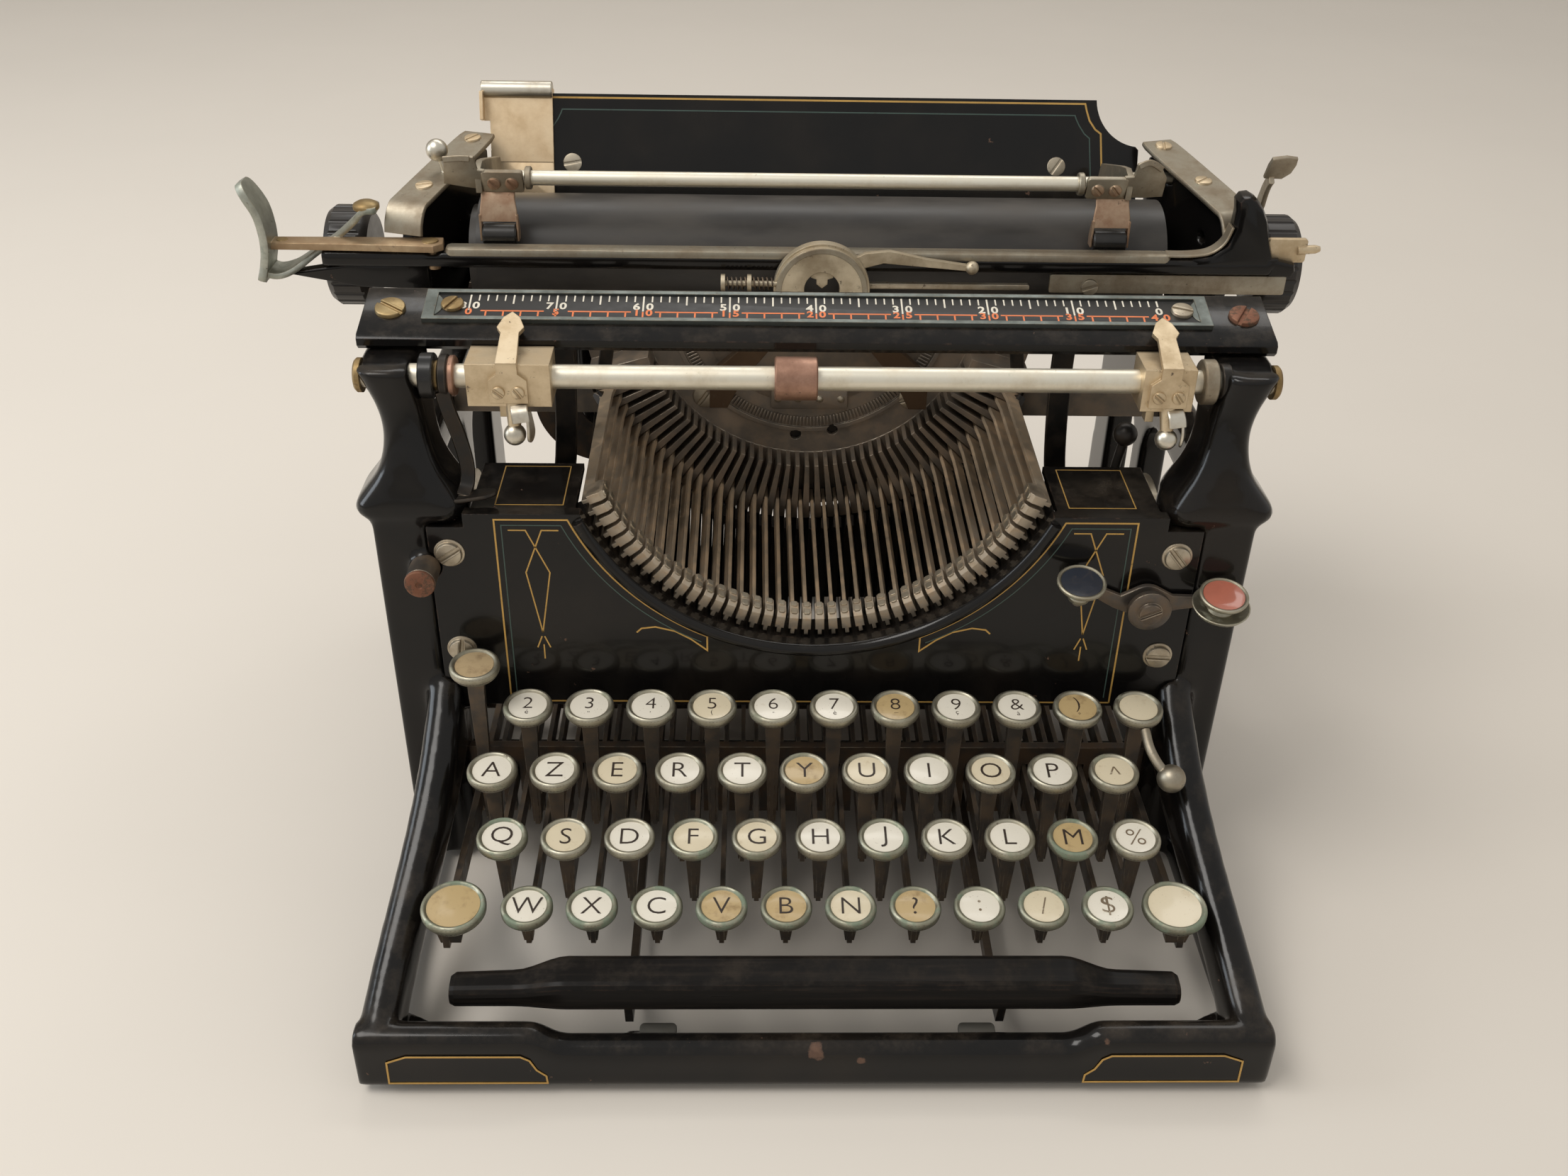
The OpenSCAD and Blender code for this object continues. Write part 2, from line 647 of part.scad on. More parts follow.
// A flat lever with an eye on the shaft, a tapered stem and a tilted ring on top
module lever_key(x, y, z, d, play) {
  eye = lever_shaft_d / 2 + 2.6;
  difference() {
    union() {
      slab_x(x, lever_t)
        polygon(concat([[y - 2, lever_lo + 1], [y, lever_lo], [lever_shaft_y - 8, lever_lo]],
          arc(lever_shaft_y, lever_z, eye, -120, 120, 12),
          [[lever_shaft_y - 8, lever_lo + lever_h], [y + 6, lever_lo + lever_h],
          [y + 2.2, lever_lo + lever_h + 4], [y + 1.2, z - key_h + 0.3], [y - 1.6, z - key_h + 0.3],
          [y - 2, lever_lo + lever_h]]));
      slab_y(y - 1.8, y + 0.8) translate([x, 0])
        polygon([[-1.3, lever_lo + 2], [1.3, lever_lo + 2], [2.6, z - key_h + 0.6], [-2.6, z - key_h + 0.6]]);
      translate([x, y, z]) rotate([key_tilt, 0, 0]) key_head(d);
    }
    bar_x(x - 3, x + 3, lever_shaft_y, lever_z, lever_shaft_d + 2 * play);
  }
}

module type_key(row, col, play = run_gap) {
  color("#b9b3a2") lever_key(key_x(row, col), key_y(row), key_z(row), key_d, play);
}

module figure_keys() {
  for (c = [0 : row_keys[0] - 1])
    type_key(0, c, 0);
}

module sign_keys() {
  type_key(1, 10, 0);
  type_key(2, 10, 0);
  for (c = [6 : 9])
    type_key(3, c, 0);
}

module tab_key() {
  color("#b9b3a2") lever_key(tab_x, key_y(0), key_z(0), key_d, run_gap);
}

module backspace_key() {
  color("#b9b3a2") lever_key(backspace_x, key_y(0) + 2, key_z(0) + 14, key_d, run_gap);
}

// Both shift keys rock on one cross shaft
module shift_keys() {
  y = key_y(3);
  z = key_z(3) - key_h;
  hi = lever_lo + lever_h;
  color("#b9b3a2") {
    for (s = [-1, 1]) {
      slab_x(s * shift_lever_x, 2)
        polygon(concat([[y - 3, lever_lo], [y, lever_lo], [shift_shaft_y - 20, lever_lo - 2]],
          arc(shift_shaft_y, shift_shaft_z, 6, -130, 100, 14),
          [[shift_shaft_y - 12, hi - 2], [y + 8, hi], [y + 2, hi], [y + 1, z + 0.3], [y - 3, z + 0.3]]));
      slab_y(y - 2.8, y + 0.6) translate([s * (shift_lever_x + shift_x) / 2, 0])
        polygon([[-3, lever_lo + 2], [3, lever_lo + 2], [5, z + 0.6], [-5, z + 0.6]]);
      translate([s * shift_x, y, key_z(3)]) rotate([key_tilt, 0, 0]) key_head(shift_d);
    }
    bar_x(1.5 - half_w, half_w - 1.5, shift_shaft_y, shift_shaft_z, cross_d);
  }
}

// The wooden space bar sits on two low arms that swing under the key levers
module space_bar() {
  mid = space_w / 2 - 34;
  neck = 16;
  top = 33;
  mid_y = -119;
  front = mid_y - 5;
  steps = 6;
  side = [for (i = [0 : steps]) i / steps];
  xs = concat([0], [for (t = side) mid + neck * t], [space_w / 2 - 1.5, space_w / 2]);
  drop = concat([0], [for (t = side) 3.6 * ease(t)], [4.2, 5]);
  deep = concat([12.5], [for (t = side) mix(12.5, 9, ease(t))], [8.6, 7.4]);
  tall = concat([11], [for (t = side) mix(11, 8, ease(t))], [7.6, 6.4]);
  n = len(xs);
  color("#201d1b")
    skin([for (j = [1 - n : n - 1])
      let (i = abs(j), x = (j < 0 ? -1 : 1) * xs[i])
      [for (p = ring(deep[i], tall[i], 2.4, 3))
        [x, mid_y + p[0], top - tall[i] / 2 - drop[i] + p[1] + (p[1] > 0 ? p[0] * 0.12 : 0)]]]);
  color("#55504a") difference() {
    for (s = [-1, 1])
      slab_x(s * 55, 2.4)
        polygon(concat([[front + 3, 23.5], [front + 6, 10], [front + 18, 7.6], [space_shaft_y - 8, 7.6]],
          arc(space_shaft_y, space_shaft_z, 4.6, -130, 130, 12),
          [[space_shaft_y - 8, 12], [front + 20, 12], [front + 13, 15], [front + 10, 23.5]]));
    bar_x(-60, 60, space_shaft_y, space_shaft_z, cross_d + 2 * run_gap);
  }
}

module lever_comb() {
  comb_y = -30;
  comb_t = 3;
  top = 43;
  low = 15;
  xs = concat([for (r = [0 : 3], c = [0 : row_keys[r] - 1]) key_x(r, c)], [tab_x, backspace_x]);
  color("#26231f") difference() {
    translate([9 - wall_x, comb_y, low]) cube([2 * wall_x - 18, comb_t, top - low]);
    for (x = xs)
      translate([x - lever_t / 2 - slot_gap, comb_y - 1, low - 1])
        cube([lever_t + 2 * slot_gap, comb_t + 2, top - low - 6]);
    for (s = [-1, 1])
      translate([s * shift_lever_x - 1 - slot_gap, comb_y - 1, low - 1])
        cube([2 + 2 * slot_gap, comb_t + 2, top - low - 6]);
  }
}

// Ribbon colour selector, a rocker on the plate
module ribbon_selector() {
  sx = selector_x;
  sz = selector_z;
  y0 = plate_y - air;
  color("#8f897c") {
    slab_y(y0 - 1.6, y0) translate([sx, sz])
      polygon(concat(arc(0, 0, 6, 60, 120, 5),
        [[-8, 2.4], [-14, 5.6], [-20, 7.4], [-22, 4.6], [-16, 2.6], [-10, -2]],
        arc(0, 0, 6, 230, 310, 5), [[10, -2.6], [17, 0.6], [22, 2.4], [20, 5], [14, 3], [8, 2.4]]));
    translate([sx, y0 - 1, sz]) rotate([90, 0, 0]) cylinder(h = 5, d = 7);
    translate([sx, y0 - 1, sz]) rotate([-90, 0, 0]) cylinder(h = plate_t + 2, d = hinge_d - 2 * run_gap);
    for (p = [[-21.5, 6.4], [21.5, 4]]) {
      translate([sx + p[0], y0 - 1, sz + p[1]]) rotate([60, 0, 0]) cylinder(h = 7, d = 5);
      translate([sx + p[0], y0 - 5.6, sz + p[1] + 3]) rotate([40, 0, 0]) cylinder(h = 3.4, d1 = 11, d2 = 14);
    }
  }
}

// Ribbon spools on brackets behind the front posts
module ribbon_spools() {
  color("#3a3733")
    for (s = [-1, 1])
      translate([s * spool_x, 0, 0]) mirror([s > 0 ? 0 : 1, 0, 0]) {
        bar_x(-8, -6, spool_y, spool_z, 46);
        bar_x(5, 7, spool_y, spool_z, 46);
        bar_x(-7, 6, spool_y, spool_z, 32);
        bar_x(-9.5, 9, spool_y, spool_z, 6);
        translate([8, plate_back + 12, spool_z - 9]) cube([3, spool_y - plate_back - 4, 18]);
      }
}

// Carriage

module carriage_rail() {
  color("#8d887c") slab_x(0, base_w - 2) {
    translate([track_y, track_z]) circle(d = track_d);
    translate([track_y - 1.8, beam_z + 12]) square([3.6, track_z - beam_z - 12]);
    translate([track_y - 5, beam_z + 12]) square([10, 2]);
  }
}

end_len = (end_rear_y - end_front_y) / cos(end_turn);

module at_end(s) {
  translate([carriage_x + s * end_front_x, end_front_y, 0]) rotate([0, 0, s * end_turn]) children();
}

module end_plate(s) {
  step = front_z + front_h - 0.1;
  at_end(s) slab_x(0, end_t)
    polygon([[2, front_z], [2, step], [9, step], [12, end_high - 4], [18, end_high],
      [end_len - 8, end_high + 6], [end_len, end_high + 3], [end_len, end_low + 2],
      [end_len - 16, end_low + 2], [34, tray_z], [15, tray_z], [12, front_z]]);
}

// The horn curls up at the right end of the front rail
module horn() {
  skin([for (i = [0 : 8])
    let (a = mix(-70, 10, i / 8), w = mix(8, 5, i / 8))
    [for (p = ring(w, 7, 2.4, 3))
      [carriage_x + 132 + (16 + p[0]) * cos(a), front_y + 4 + p[1], front_z + 19 + (17 + p[0]) * sin(a)]]]);
  translate([carriage_x + 138, front_y + 0.5, front_z + 3]) cube([12, 6, 6]);
}

module carriage_frame() {
  shoe_l = 34;
  far = end_front_x + 10;
  bores = [[platen_y, platen_z, shaft_d], [bail_hinge_y, bail_hinge_z, hinge_d]];
  color("#1b1b1d") difference() {
    union() {
      slab_x(carriage_x - 8, 312)
        polygon(concat([[front_y, front_z + 1], [front_y + 1, front_z], [front_y + front_d, front_z]],
          [[front_y + front_d, front_z + front_h], [front_y + 2, front_z + front_h]],
          arc(front_y + 2, front_z + front_h - 2, 2, 90, 180, 4)));
      for (s = [-1, 1])
        end_plate(s);
      translate([carriage_x - end_rear_x - 2, rear_bar_y, rear_bar_z])
        cube([2 * end_rear_x + 4, 7, rear_bar_h]);
      for (x = [-24, 24])
        translate([carriage_x + x - shoe_l / 2, track_y - shoe_half, track_z - 3])
          cube([shoe_l, 2 * shoe_half, 10]);
      horn();
    }
    for (b = bores)
      bar_x(carriage_x - far, carriage_x + far, b[0], b[1], b[2] + 2 * run_gap);
    bar_x(-130, 140, track_y, track_z, track_d + 2 * run_gap);
    translate([-130, track_y - 2.6, track_z - 12]) cube([270, 5.2, 12]);
    translate([lever_px, lever_py, front_z - 2]) cylinder(h = 14, d = hinge_d + 2 * run_gap);
    bar_x(carriage_x + 120, carriage_x + far, release_y, release_z, hinge_d + 2 * run_gap);
  }
  color("#26231f") slab_x(carriage_x, 2 * end_rear_x + 6)
    polygon([[tray_y, tray_z], [rear_bar_y - 6.5, tray_z], [rear_bar_y + 3, rear_bar_z + 1.5],
      [rear_bar_y + 1.5, rear_bar_z + 2], [rear_bar_y - 7.5, tray_z + tray_t], [tray_y, tray_z + tray_t]]);
  color("#26231f") translate([carriage_x - end_front_x + 3, tray_y + 5, tray_z])
    cube([2 * end_front_x - 6, 7, 3]);
}

// Bright strips on top of the end plates and along the front rail
module end_strips() {
  strip_t = 1.6;
  ball_x = carriage_x - end_front_x + 36 * sin(end_turn);
  ball_y = end_front_y + 36 * cos(end_turn);
  color("#a39c8c") {
    for (s = [-1, 1])
      at_end(s) slab_x(0, 11)
        polygon([[18, end_high], [end_len - 8, end_high + 6], [end_len - 8, end_high + 6 + strip_t],
          [18, end_high + strip_t], [8, end_high + strip_t - 4.6], [8, end_high - 4.6]]);
    translate([carriage_x - 122, front_y + 2.2, front_z + front_h]) cube([246, 4, strip_t]);
    translate([ball_x, ball_y, end_high + 3.4]) cylinder(h = 6, d = 4);
    translate([ball_x, ball_y, end_high + 11.4]) sphere(d = 7);
  }
}

// Leaning sheet with a hollowed corner on each side
module paper_table() {
  high = (table_top - table_low_z) / cos(table_lean);
  color("#1b1b1d") translate([carriage_x, table_low_y, table_low_z]) rotate([-table_lean, 0, 0])
    slab_y(0, table_t) difference() {
      polygon([[-table_w / 2, 0], [table_w / 2, 0], [table_w / 2, high - 17], [table_w / 2 - 16, high],
        [16 - table_w / 2, high], [-table_w / 2, high - 17]]);
      for (s = [-1, 1])
        translate([s * (table_w / 2 + 1), high + 1]) circle(17);
    }
  color("#1b1b1d") for (x = [-80, 80])
    translate([carriage_x + x - 9, rear_bar_y, rear_bar_z + rear_bar_h]) cube([18, 7, 5.5]);
}

module paper_guide() {
  high = (table_top - table_low_z) / cos(table_lean);
  gx = carriage_x - table_w / 2 + 7.7;
  half = 12.6;
  color("#a39c8c") translate([gx, table_low_y, table_low_z]) rotate([-table_lean, 0, 0]) {
    slab_y(-1.5, -0.3)
      polygon([[3 - half, 20], [half, 20], [half, high + 1.6], [-half, high + 1.6], [-half, 34], [3 - half, 34]]);
    translate([-half, -1.5, high + 0.4]) cube([2 * half, table_t + 3.3, 1.2]);
    slab_y(table_t + 0.6, table_t + 1.8) translate([-half, high - 7]) square([2 * half, 8.4]);
    translate([-half, -5, 34]) cube([1.2, 4.6, high - 34]);
  }
}

module platen() {
  far = knob_in + knob_l;
  left = carriage_x - platen_l / 2;
  color("#3c3c3e") bar_x(left, left + platen_l, platen_y, platen_z, 2 * platen_r, $fn = 96);
  color("#8d887c") bar_x(carriage_x - far - knob_left, carriage_x + far, platen_y, platen_z, shaft_d);
  color("#6a665d") bar_x(left - 3, left + 1, platen_y, platen_z, 2 * platen_r - 8);
}

// Hard rubber knobs with a notched rim
module platen_knobs() {
  notches = 24;
  color("#1f1e1d")
    for (s = [-1, 1])
      translate([carriage_x + s * knob_in - (s < 0 ? knob_left : 0), platen_y, platen_z])
        rotate([0, s * 90, 0]) difference() {
          rotate_extrude() polygon([[shaft_d / 2, 0], [knob_r - 3, 0], [knob_r - 1, 1.4], [knob_r, 3],
            [knob_r, knob_l - 3], [knob_r - 1.6, knob_l - 0.8], [knob_r - 4, knob_l], [9, knob_l],
            [7, knob_l - 2], [shaft_d / 2, knob_l - 2]]);
          for (i = [0 : notches - 1])
            rotate([0, 0, 360 * i / notches]) translate([knob_r + 0.5, 0, -1])
              cylinder(h = knob_l + 2, d = 2, $fn = 16);
        }
}

// Return lever: a flat bar on the left end of the rail with an upturned finger blade
module return_lever() {
  z0 = front_z + front_h + air;
  end = -lever_reach - 4;
  color("#9a8f78") {
    slab_z(z0, z0 + 2.2) translate([lever_px, lever_py])
      polygon(concat([[end, -3], [-8, -3.4]], arc(0, 0, 5, 220, 500, 16),
        [[-8, 3.4], [end + 4, 3.4], [end, 2]]));
    translate([lever_px, lever_py, front_z - 1]) cylinder(h = front_h + 3, d = hinge_d);
    translate([lever_px, lever_py, z0 + 1]) cylinder(h = 2.4, d = 7);
    skin([for (i = [0 : 12])
      let (t = i / 12)
      let (z = mix(z0 - 12, z0 + 22, t))
      let (x = lever_px - lever_reach - 2 - (blade_out - 2) * pow(t, 2.2) + 4 * pow(1 - t, 2))
      [for (p = ring(mix(4.6, 3, t), mix(7, 13, sin(150 * t)), 1.4, 3)) [x + p[0], lever_py + p[1], z]]]);
  }
}

module slab_z(z0, z1) {
  translate([0, 0, z0]) linear_extrude(z1 - z0) children();
}

// Paper bail: a rod on two swinging arms, with a roller finger at each end
module paper_bail() {
  y1 = bail_hinge_y;
  z1 = bail_hinge_z;
  color("#a39c8c") {
    bar_x(bail_x - 100, bail_x + 100, bail_y, bail_z, 5);
    for (s = [-1, 1])
      translate([bail_x, 0, 0]) mirror([s > 0 ? 0 : 1, 0, 0]) {
        slab_x(bail_arm_x, 2)
          polygon([[bail_y - 5, bail_z + 4], [bail_y - 4, bail_z - 4], [y1 - 4, z1 - 5], [y1 + 5, z1 - 4],
            [y1 + 5, z1 + 4], [bail_y + 8, bail_z + 5], [bail_y + 6, bail_z + 11],
            [bail_y + 2, bail_z + 10]]);
        bar_x(bail_arm_x - 7, bail_arm_x + 1, bail_y, bail_z, 8);
        bar_x(bail_arm_x - 0.5, 130 + s * (carriage_x - bail_x), y1, z1, hinge_d);
        slab_x(finger_x, 11)
          polygon([[bail_y - 3, bail_z], [bail_y - 1, bail_z + 2.4], [roller_y + 1.2, roller_z + 3],
            [roller_y - 1.4, roller_z + 1]]);
        bar_x(finger_x - roller_l / 2, finger_x + roller_l / 2, roller_y, roller_z, 2 * roller_r);
      }
  }
}

module paper_release() {
  px = carriage_x + 144.6;
  color("#a39c8c") {
    translate([0, release_y, release_z]) {
      slab_x(px, 1.8)
        polygon(concat(arc(0, 0, 4.5, 200, 340, 6), [[-2, 12], [-8, 21], [-15, 30], [-20, 32], [-21, 28],
          [-15, 20], [-9, 9]]));
      slab_x(px + 3, 8) polygon([[-21, 28], [-20, 32], [-25, 33.4], [-25.6, 29.6]]);
    }
    bar_x(px - 12, px + 0.5, release_y, release_z, hinge_d);
  }
}

module mainspring_drum() {
  color("#6a665d") translate([drum_x, track_y + 4, drum_z]) rotate([-90, 0, 0]) {
    cylinder(h = 14, r = 25);
    cylinder(h = 2, r = 27);
    translate([0, 0, 12]) cylinder(h = 2, r = 27);
    translate([0, 0, -6]) cylinder(h = 22, d = 6);
  }
}

// The machine's middle stands off the origin, so that the whole width is centred on it
module placed() {
  translate([machine_x, 0, 0]) children();
}

placed() base_frame();
placed() rubber_feet();
placed() front_plate();
placed() type_segment();
placed() typebars();
placed() typebar_y();
placed() typebar_rest();
placed() scale_rail();
placed() margin_scale();
placed() stop_rod();
placed() margin_stop_left();
placed() margin_stop_right();
placed() type_guide();
placed() guide_springs();
placed() lever_comb();
placed() figure_keys();
placed() sign_keys();
placed() space_bar();
placed() shift_keys();
placed() backspace_key();
placed() tab_key();
placed() ribbon_selector();
placed() ribbon_spools();
placed() carriage_rail();
placed() carriage_frame();
placed() end_strips();
placed() paper_table();
placed() paper_guide();
placed() platen();
placed() platen_knobs();
placed() return_lever();
placed() paper_bail();
placed() paper_release();
placed() mainspring_drum();
placed() type_key(1, 0);  // key_a
placed() type_key(1, 1);  // key_z
placed() type_key(1, 2);  // key_e
placed() type_key(1, 3);  // key_r
placed() type_key(1, 4);  // key_t
placed() type_key(1, 5);  // key_y
placed() type_key(1, 6);  // key_u
placed() type_key(1, 7);  // key_i
placed() type_key(1, 8);  // key_o
placed() type_key(1, 9);  // key_p
placed() type_key(2, 0);  // key_q
placed() type_key(2, 1);  // key_s
placed() type_key(2, 2);  // key_d
placed() type_key(2, 3);  // key_f
placed() type_key(2, 4);  // key_g
placed() type_key(2, 5);  // key_h
placed() type_key(2, 6);  // key_j
placed() type_key(2, 7);  // key_k
placed() type_key(2, 8);  // key_l
placed() type_key(2, 9);  // key_m
placed() type_key(3, 0);  // key_w
placed() type_key(3, 1);  // key_x
placed() type_key(3, 2);  // key_c
placed() type_key(3, 3);  // key_v
placed() type_key(3, 4);  // key_b
placed() type_key(3, 5);  // key_n
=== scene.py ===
"""Looks of a front-strike office typewriter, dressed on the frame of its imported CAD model.

Sizes are millimetres in the machine's own axes: X runs across with 0 at the middle of the type
basket, Y runs away from the typist and Z runs up from the table.
"""

from __future__ import annotations

import logging
import math
from dataclasses import dataclass, field
from enum import Enum
from string import ascii_lowercase
from typing import Optional, Sequence, Union

import bmesh
import bpy
from mathutils import Matrix, Vector


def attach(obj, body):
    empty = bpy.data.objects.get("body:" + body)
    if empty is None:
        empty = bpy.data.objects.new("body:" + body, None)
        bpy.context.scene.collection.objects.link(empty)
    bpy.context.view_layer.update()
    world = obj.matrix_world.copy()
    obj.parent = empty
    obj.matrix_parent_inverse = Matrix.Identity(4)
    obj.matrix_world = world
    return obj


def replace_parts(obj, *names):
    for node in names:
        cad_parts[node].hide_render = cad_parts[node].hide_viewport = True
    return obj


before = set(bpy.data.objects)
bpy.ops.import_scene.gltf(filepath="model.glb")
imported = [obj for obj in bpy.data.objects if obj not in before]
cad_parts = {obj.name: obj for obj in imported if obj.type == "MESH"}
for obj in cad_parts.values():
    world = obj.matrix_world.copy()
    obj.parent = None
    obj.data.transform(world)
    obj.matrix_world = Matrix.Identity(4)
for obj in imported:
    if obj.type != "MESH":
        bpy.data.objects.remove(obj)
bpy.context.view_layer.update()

LOG = logging.getLogger("typewriter")
MM = 0.001
# Added to the machine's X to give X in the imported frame
SHIFT_X = 8.75
# Painted lines reach this far into a surface and stand this far off it
SUNK, PROUD = -0.1, 0.06
# Edges of the scene's own pieces that bend more than this many degrees stay sharp
SHARP = 38.0
# Radius of the hinge pins
PIN_R = 1.95

Colour = tuple[float, float, float]
Flat = tuple[float, float]
Spot = tuple[float, float, float]
Line = tuple[Flat, ...]
Track = tuple[Spot, ...]
Row = tuple[float, ...]
Value = Union[float, bpy.types.NodeSocket]
Tint = Union[Colour, bpy.types.NodeSocket]
Feeds = dict[Union[int, str], Union[Value, Tint]]
RIGHT, BACK, UP = Vector((1, 0, 0)), Vector((0, 1, 0)), Vector((0, 0, 1))


# Shapes


@dataclass(frozen=True)
class Seat:
    """A place on the machine with its own axes: u and v lie in a surface, w leaves it."""

    origin: Vector
    u: Vector
    v: Vector

    @property
    def w(self) -> Vector:
        """The direction that leaves the surface."""
        return self.u.cross(self.v)

    def at(self, a: float, b: float, c: float = 0.0) -> Vector:
        """The machine point at a along u, b along v and c along w."""
        return self.origin + self.u * a + self.v * b + self.w * c

    def moved(self, a: float, b: float, c: float = 0.0) -> "Seat":
        """The same axes at another point."""
        return Seat(self.at(a, b, c), self.u, self.v)

    def turned(self, degrees: float) -> "Seat":
        """The same point with u and v turned about w."""
        c, s = math.cos(math.radians(degrees)), math.sin(math.radians(degrees))
        return Seat(self.origin, self.u * c + self.v * s, self.v * c - self.u * s)

    def tipped(self, degrees: float) -> "Seat":
        """The same point with v and w turned about u."""
        c, s = math.cos(math.radians(degrees)), math.sin(math.radians(degrees))
        return Seat(self.origin, self.u, self.v * c + self.w * s)


def facing_front(x: float, y: float, z: float) -> Seat:
    """A seat on an upright face that looks at the typist."""
    return Seat(Vector((x, y, z)), RIGHT, UP)


def facing_up(x: float, y: float, z: float) -> Seat:
    """A seat on a level face that looks up."""
    return Seat(Vector((x, y, z)), RIGHT, BACK)


def facing_side(x: float, y: float, z: float, side: int) -> Seat:
    """A seat on an upright face that looks out to one side, -1 left or 1 right."""
    return Seat(Vector((x, y, z)), BACK * side, UP)


def arc(cx: float, cy: float, r: float, start: float, end: float, steps: int) -> list[Flat]:
    """Points of a circular arc, from one angle to another in degrees."""
    turns = [math.radians(start + (end - start) * i / steps) for i in range(steps + 1)]
    return [(cx + r * math.cos(t), cy + r * math.sin(t)) for t in turns]


def mirrored(line: Sequence[Flat], side: int) -> list[Flat]:
    """A line as drawn for the right side, or its mirror image for side -1."""
    return [(side * a, b) for a, b in line]


def packed(points: Sequence[Vector]) -> list[Spot]:
    """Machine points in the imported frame's metres."""
    return [((p.x + SHIFT_X) * MM, p.y * MM, p.z * MM) for p in points]


def flowing(points: Sequence[Union[Spot, Vector]], steps: int = 6) -> list[Vector]:
    """A smooth path through some points.

    Args:
        points: the points that it passes.
        steps: parts between two points.

    Returns:
        The path's points.
    """
    fixed = [Vector(p) for p in points]
    path: list[Vector] = []
    for i in range(len(fixed) - 1):
        a, b, c, d = fixed[max(i - 1, 0)], fixed[i], fixed[i + 1], fixed[min(i + 2, len(fixed) - 1)]
        for k in range(steps):
            t = k / steps
            square, cube = 2 * a - 5 * b + 4 * c - d, 3 * b - 3 * c + d - a
            path.append(0.5 * (2 * b + (c - a) * t + square * t ** 2 + cube * t ** 3))
    return path + [fixed[-1]]


def inset(outline: Sequence[Flat], by: float) -> list[Flat]:
    """A closed outline moved inwards.

    Args:
        outline: corners, counter-clockwise.
        by: how far each side moves.

    Returns:
        The same number of corners.
    """
    out: list[Flat] = []
    count = len(outline)
    for i, point in enumerate(outline):
        before, after = outline[i - 1], outline[(i + 1) % count]
        d1 = Vector((point[0] - before[0], point[1] - before[1])).normalized()
        d2 = Vector((after[0] - point[0], after[1] - point[1])).normalized()
        n1, n2 = Vector((-d1.y, d1.x)), Vector((-d2.y, d2.x))
        mid = n1 + n2
        scale = by / max(0.35, mid.dot(n1)) if mid.length > 1e-6 else 0.0
        out.append((point[0] + mid.x * scale, point[1] + mid.y * scale))
    return out


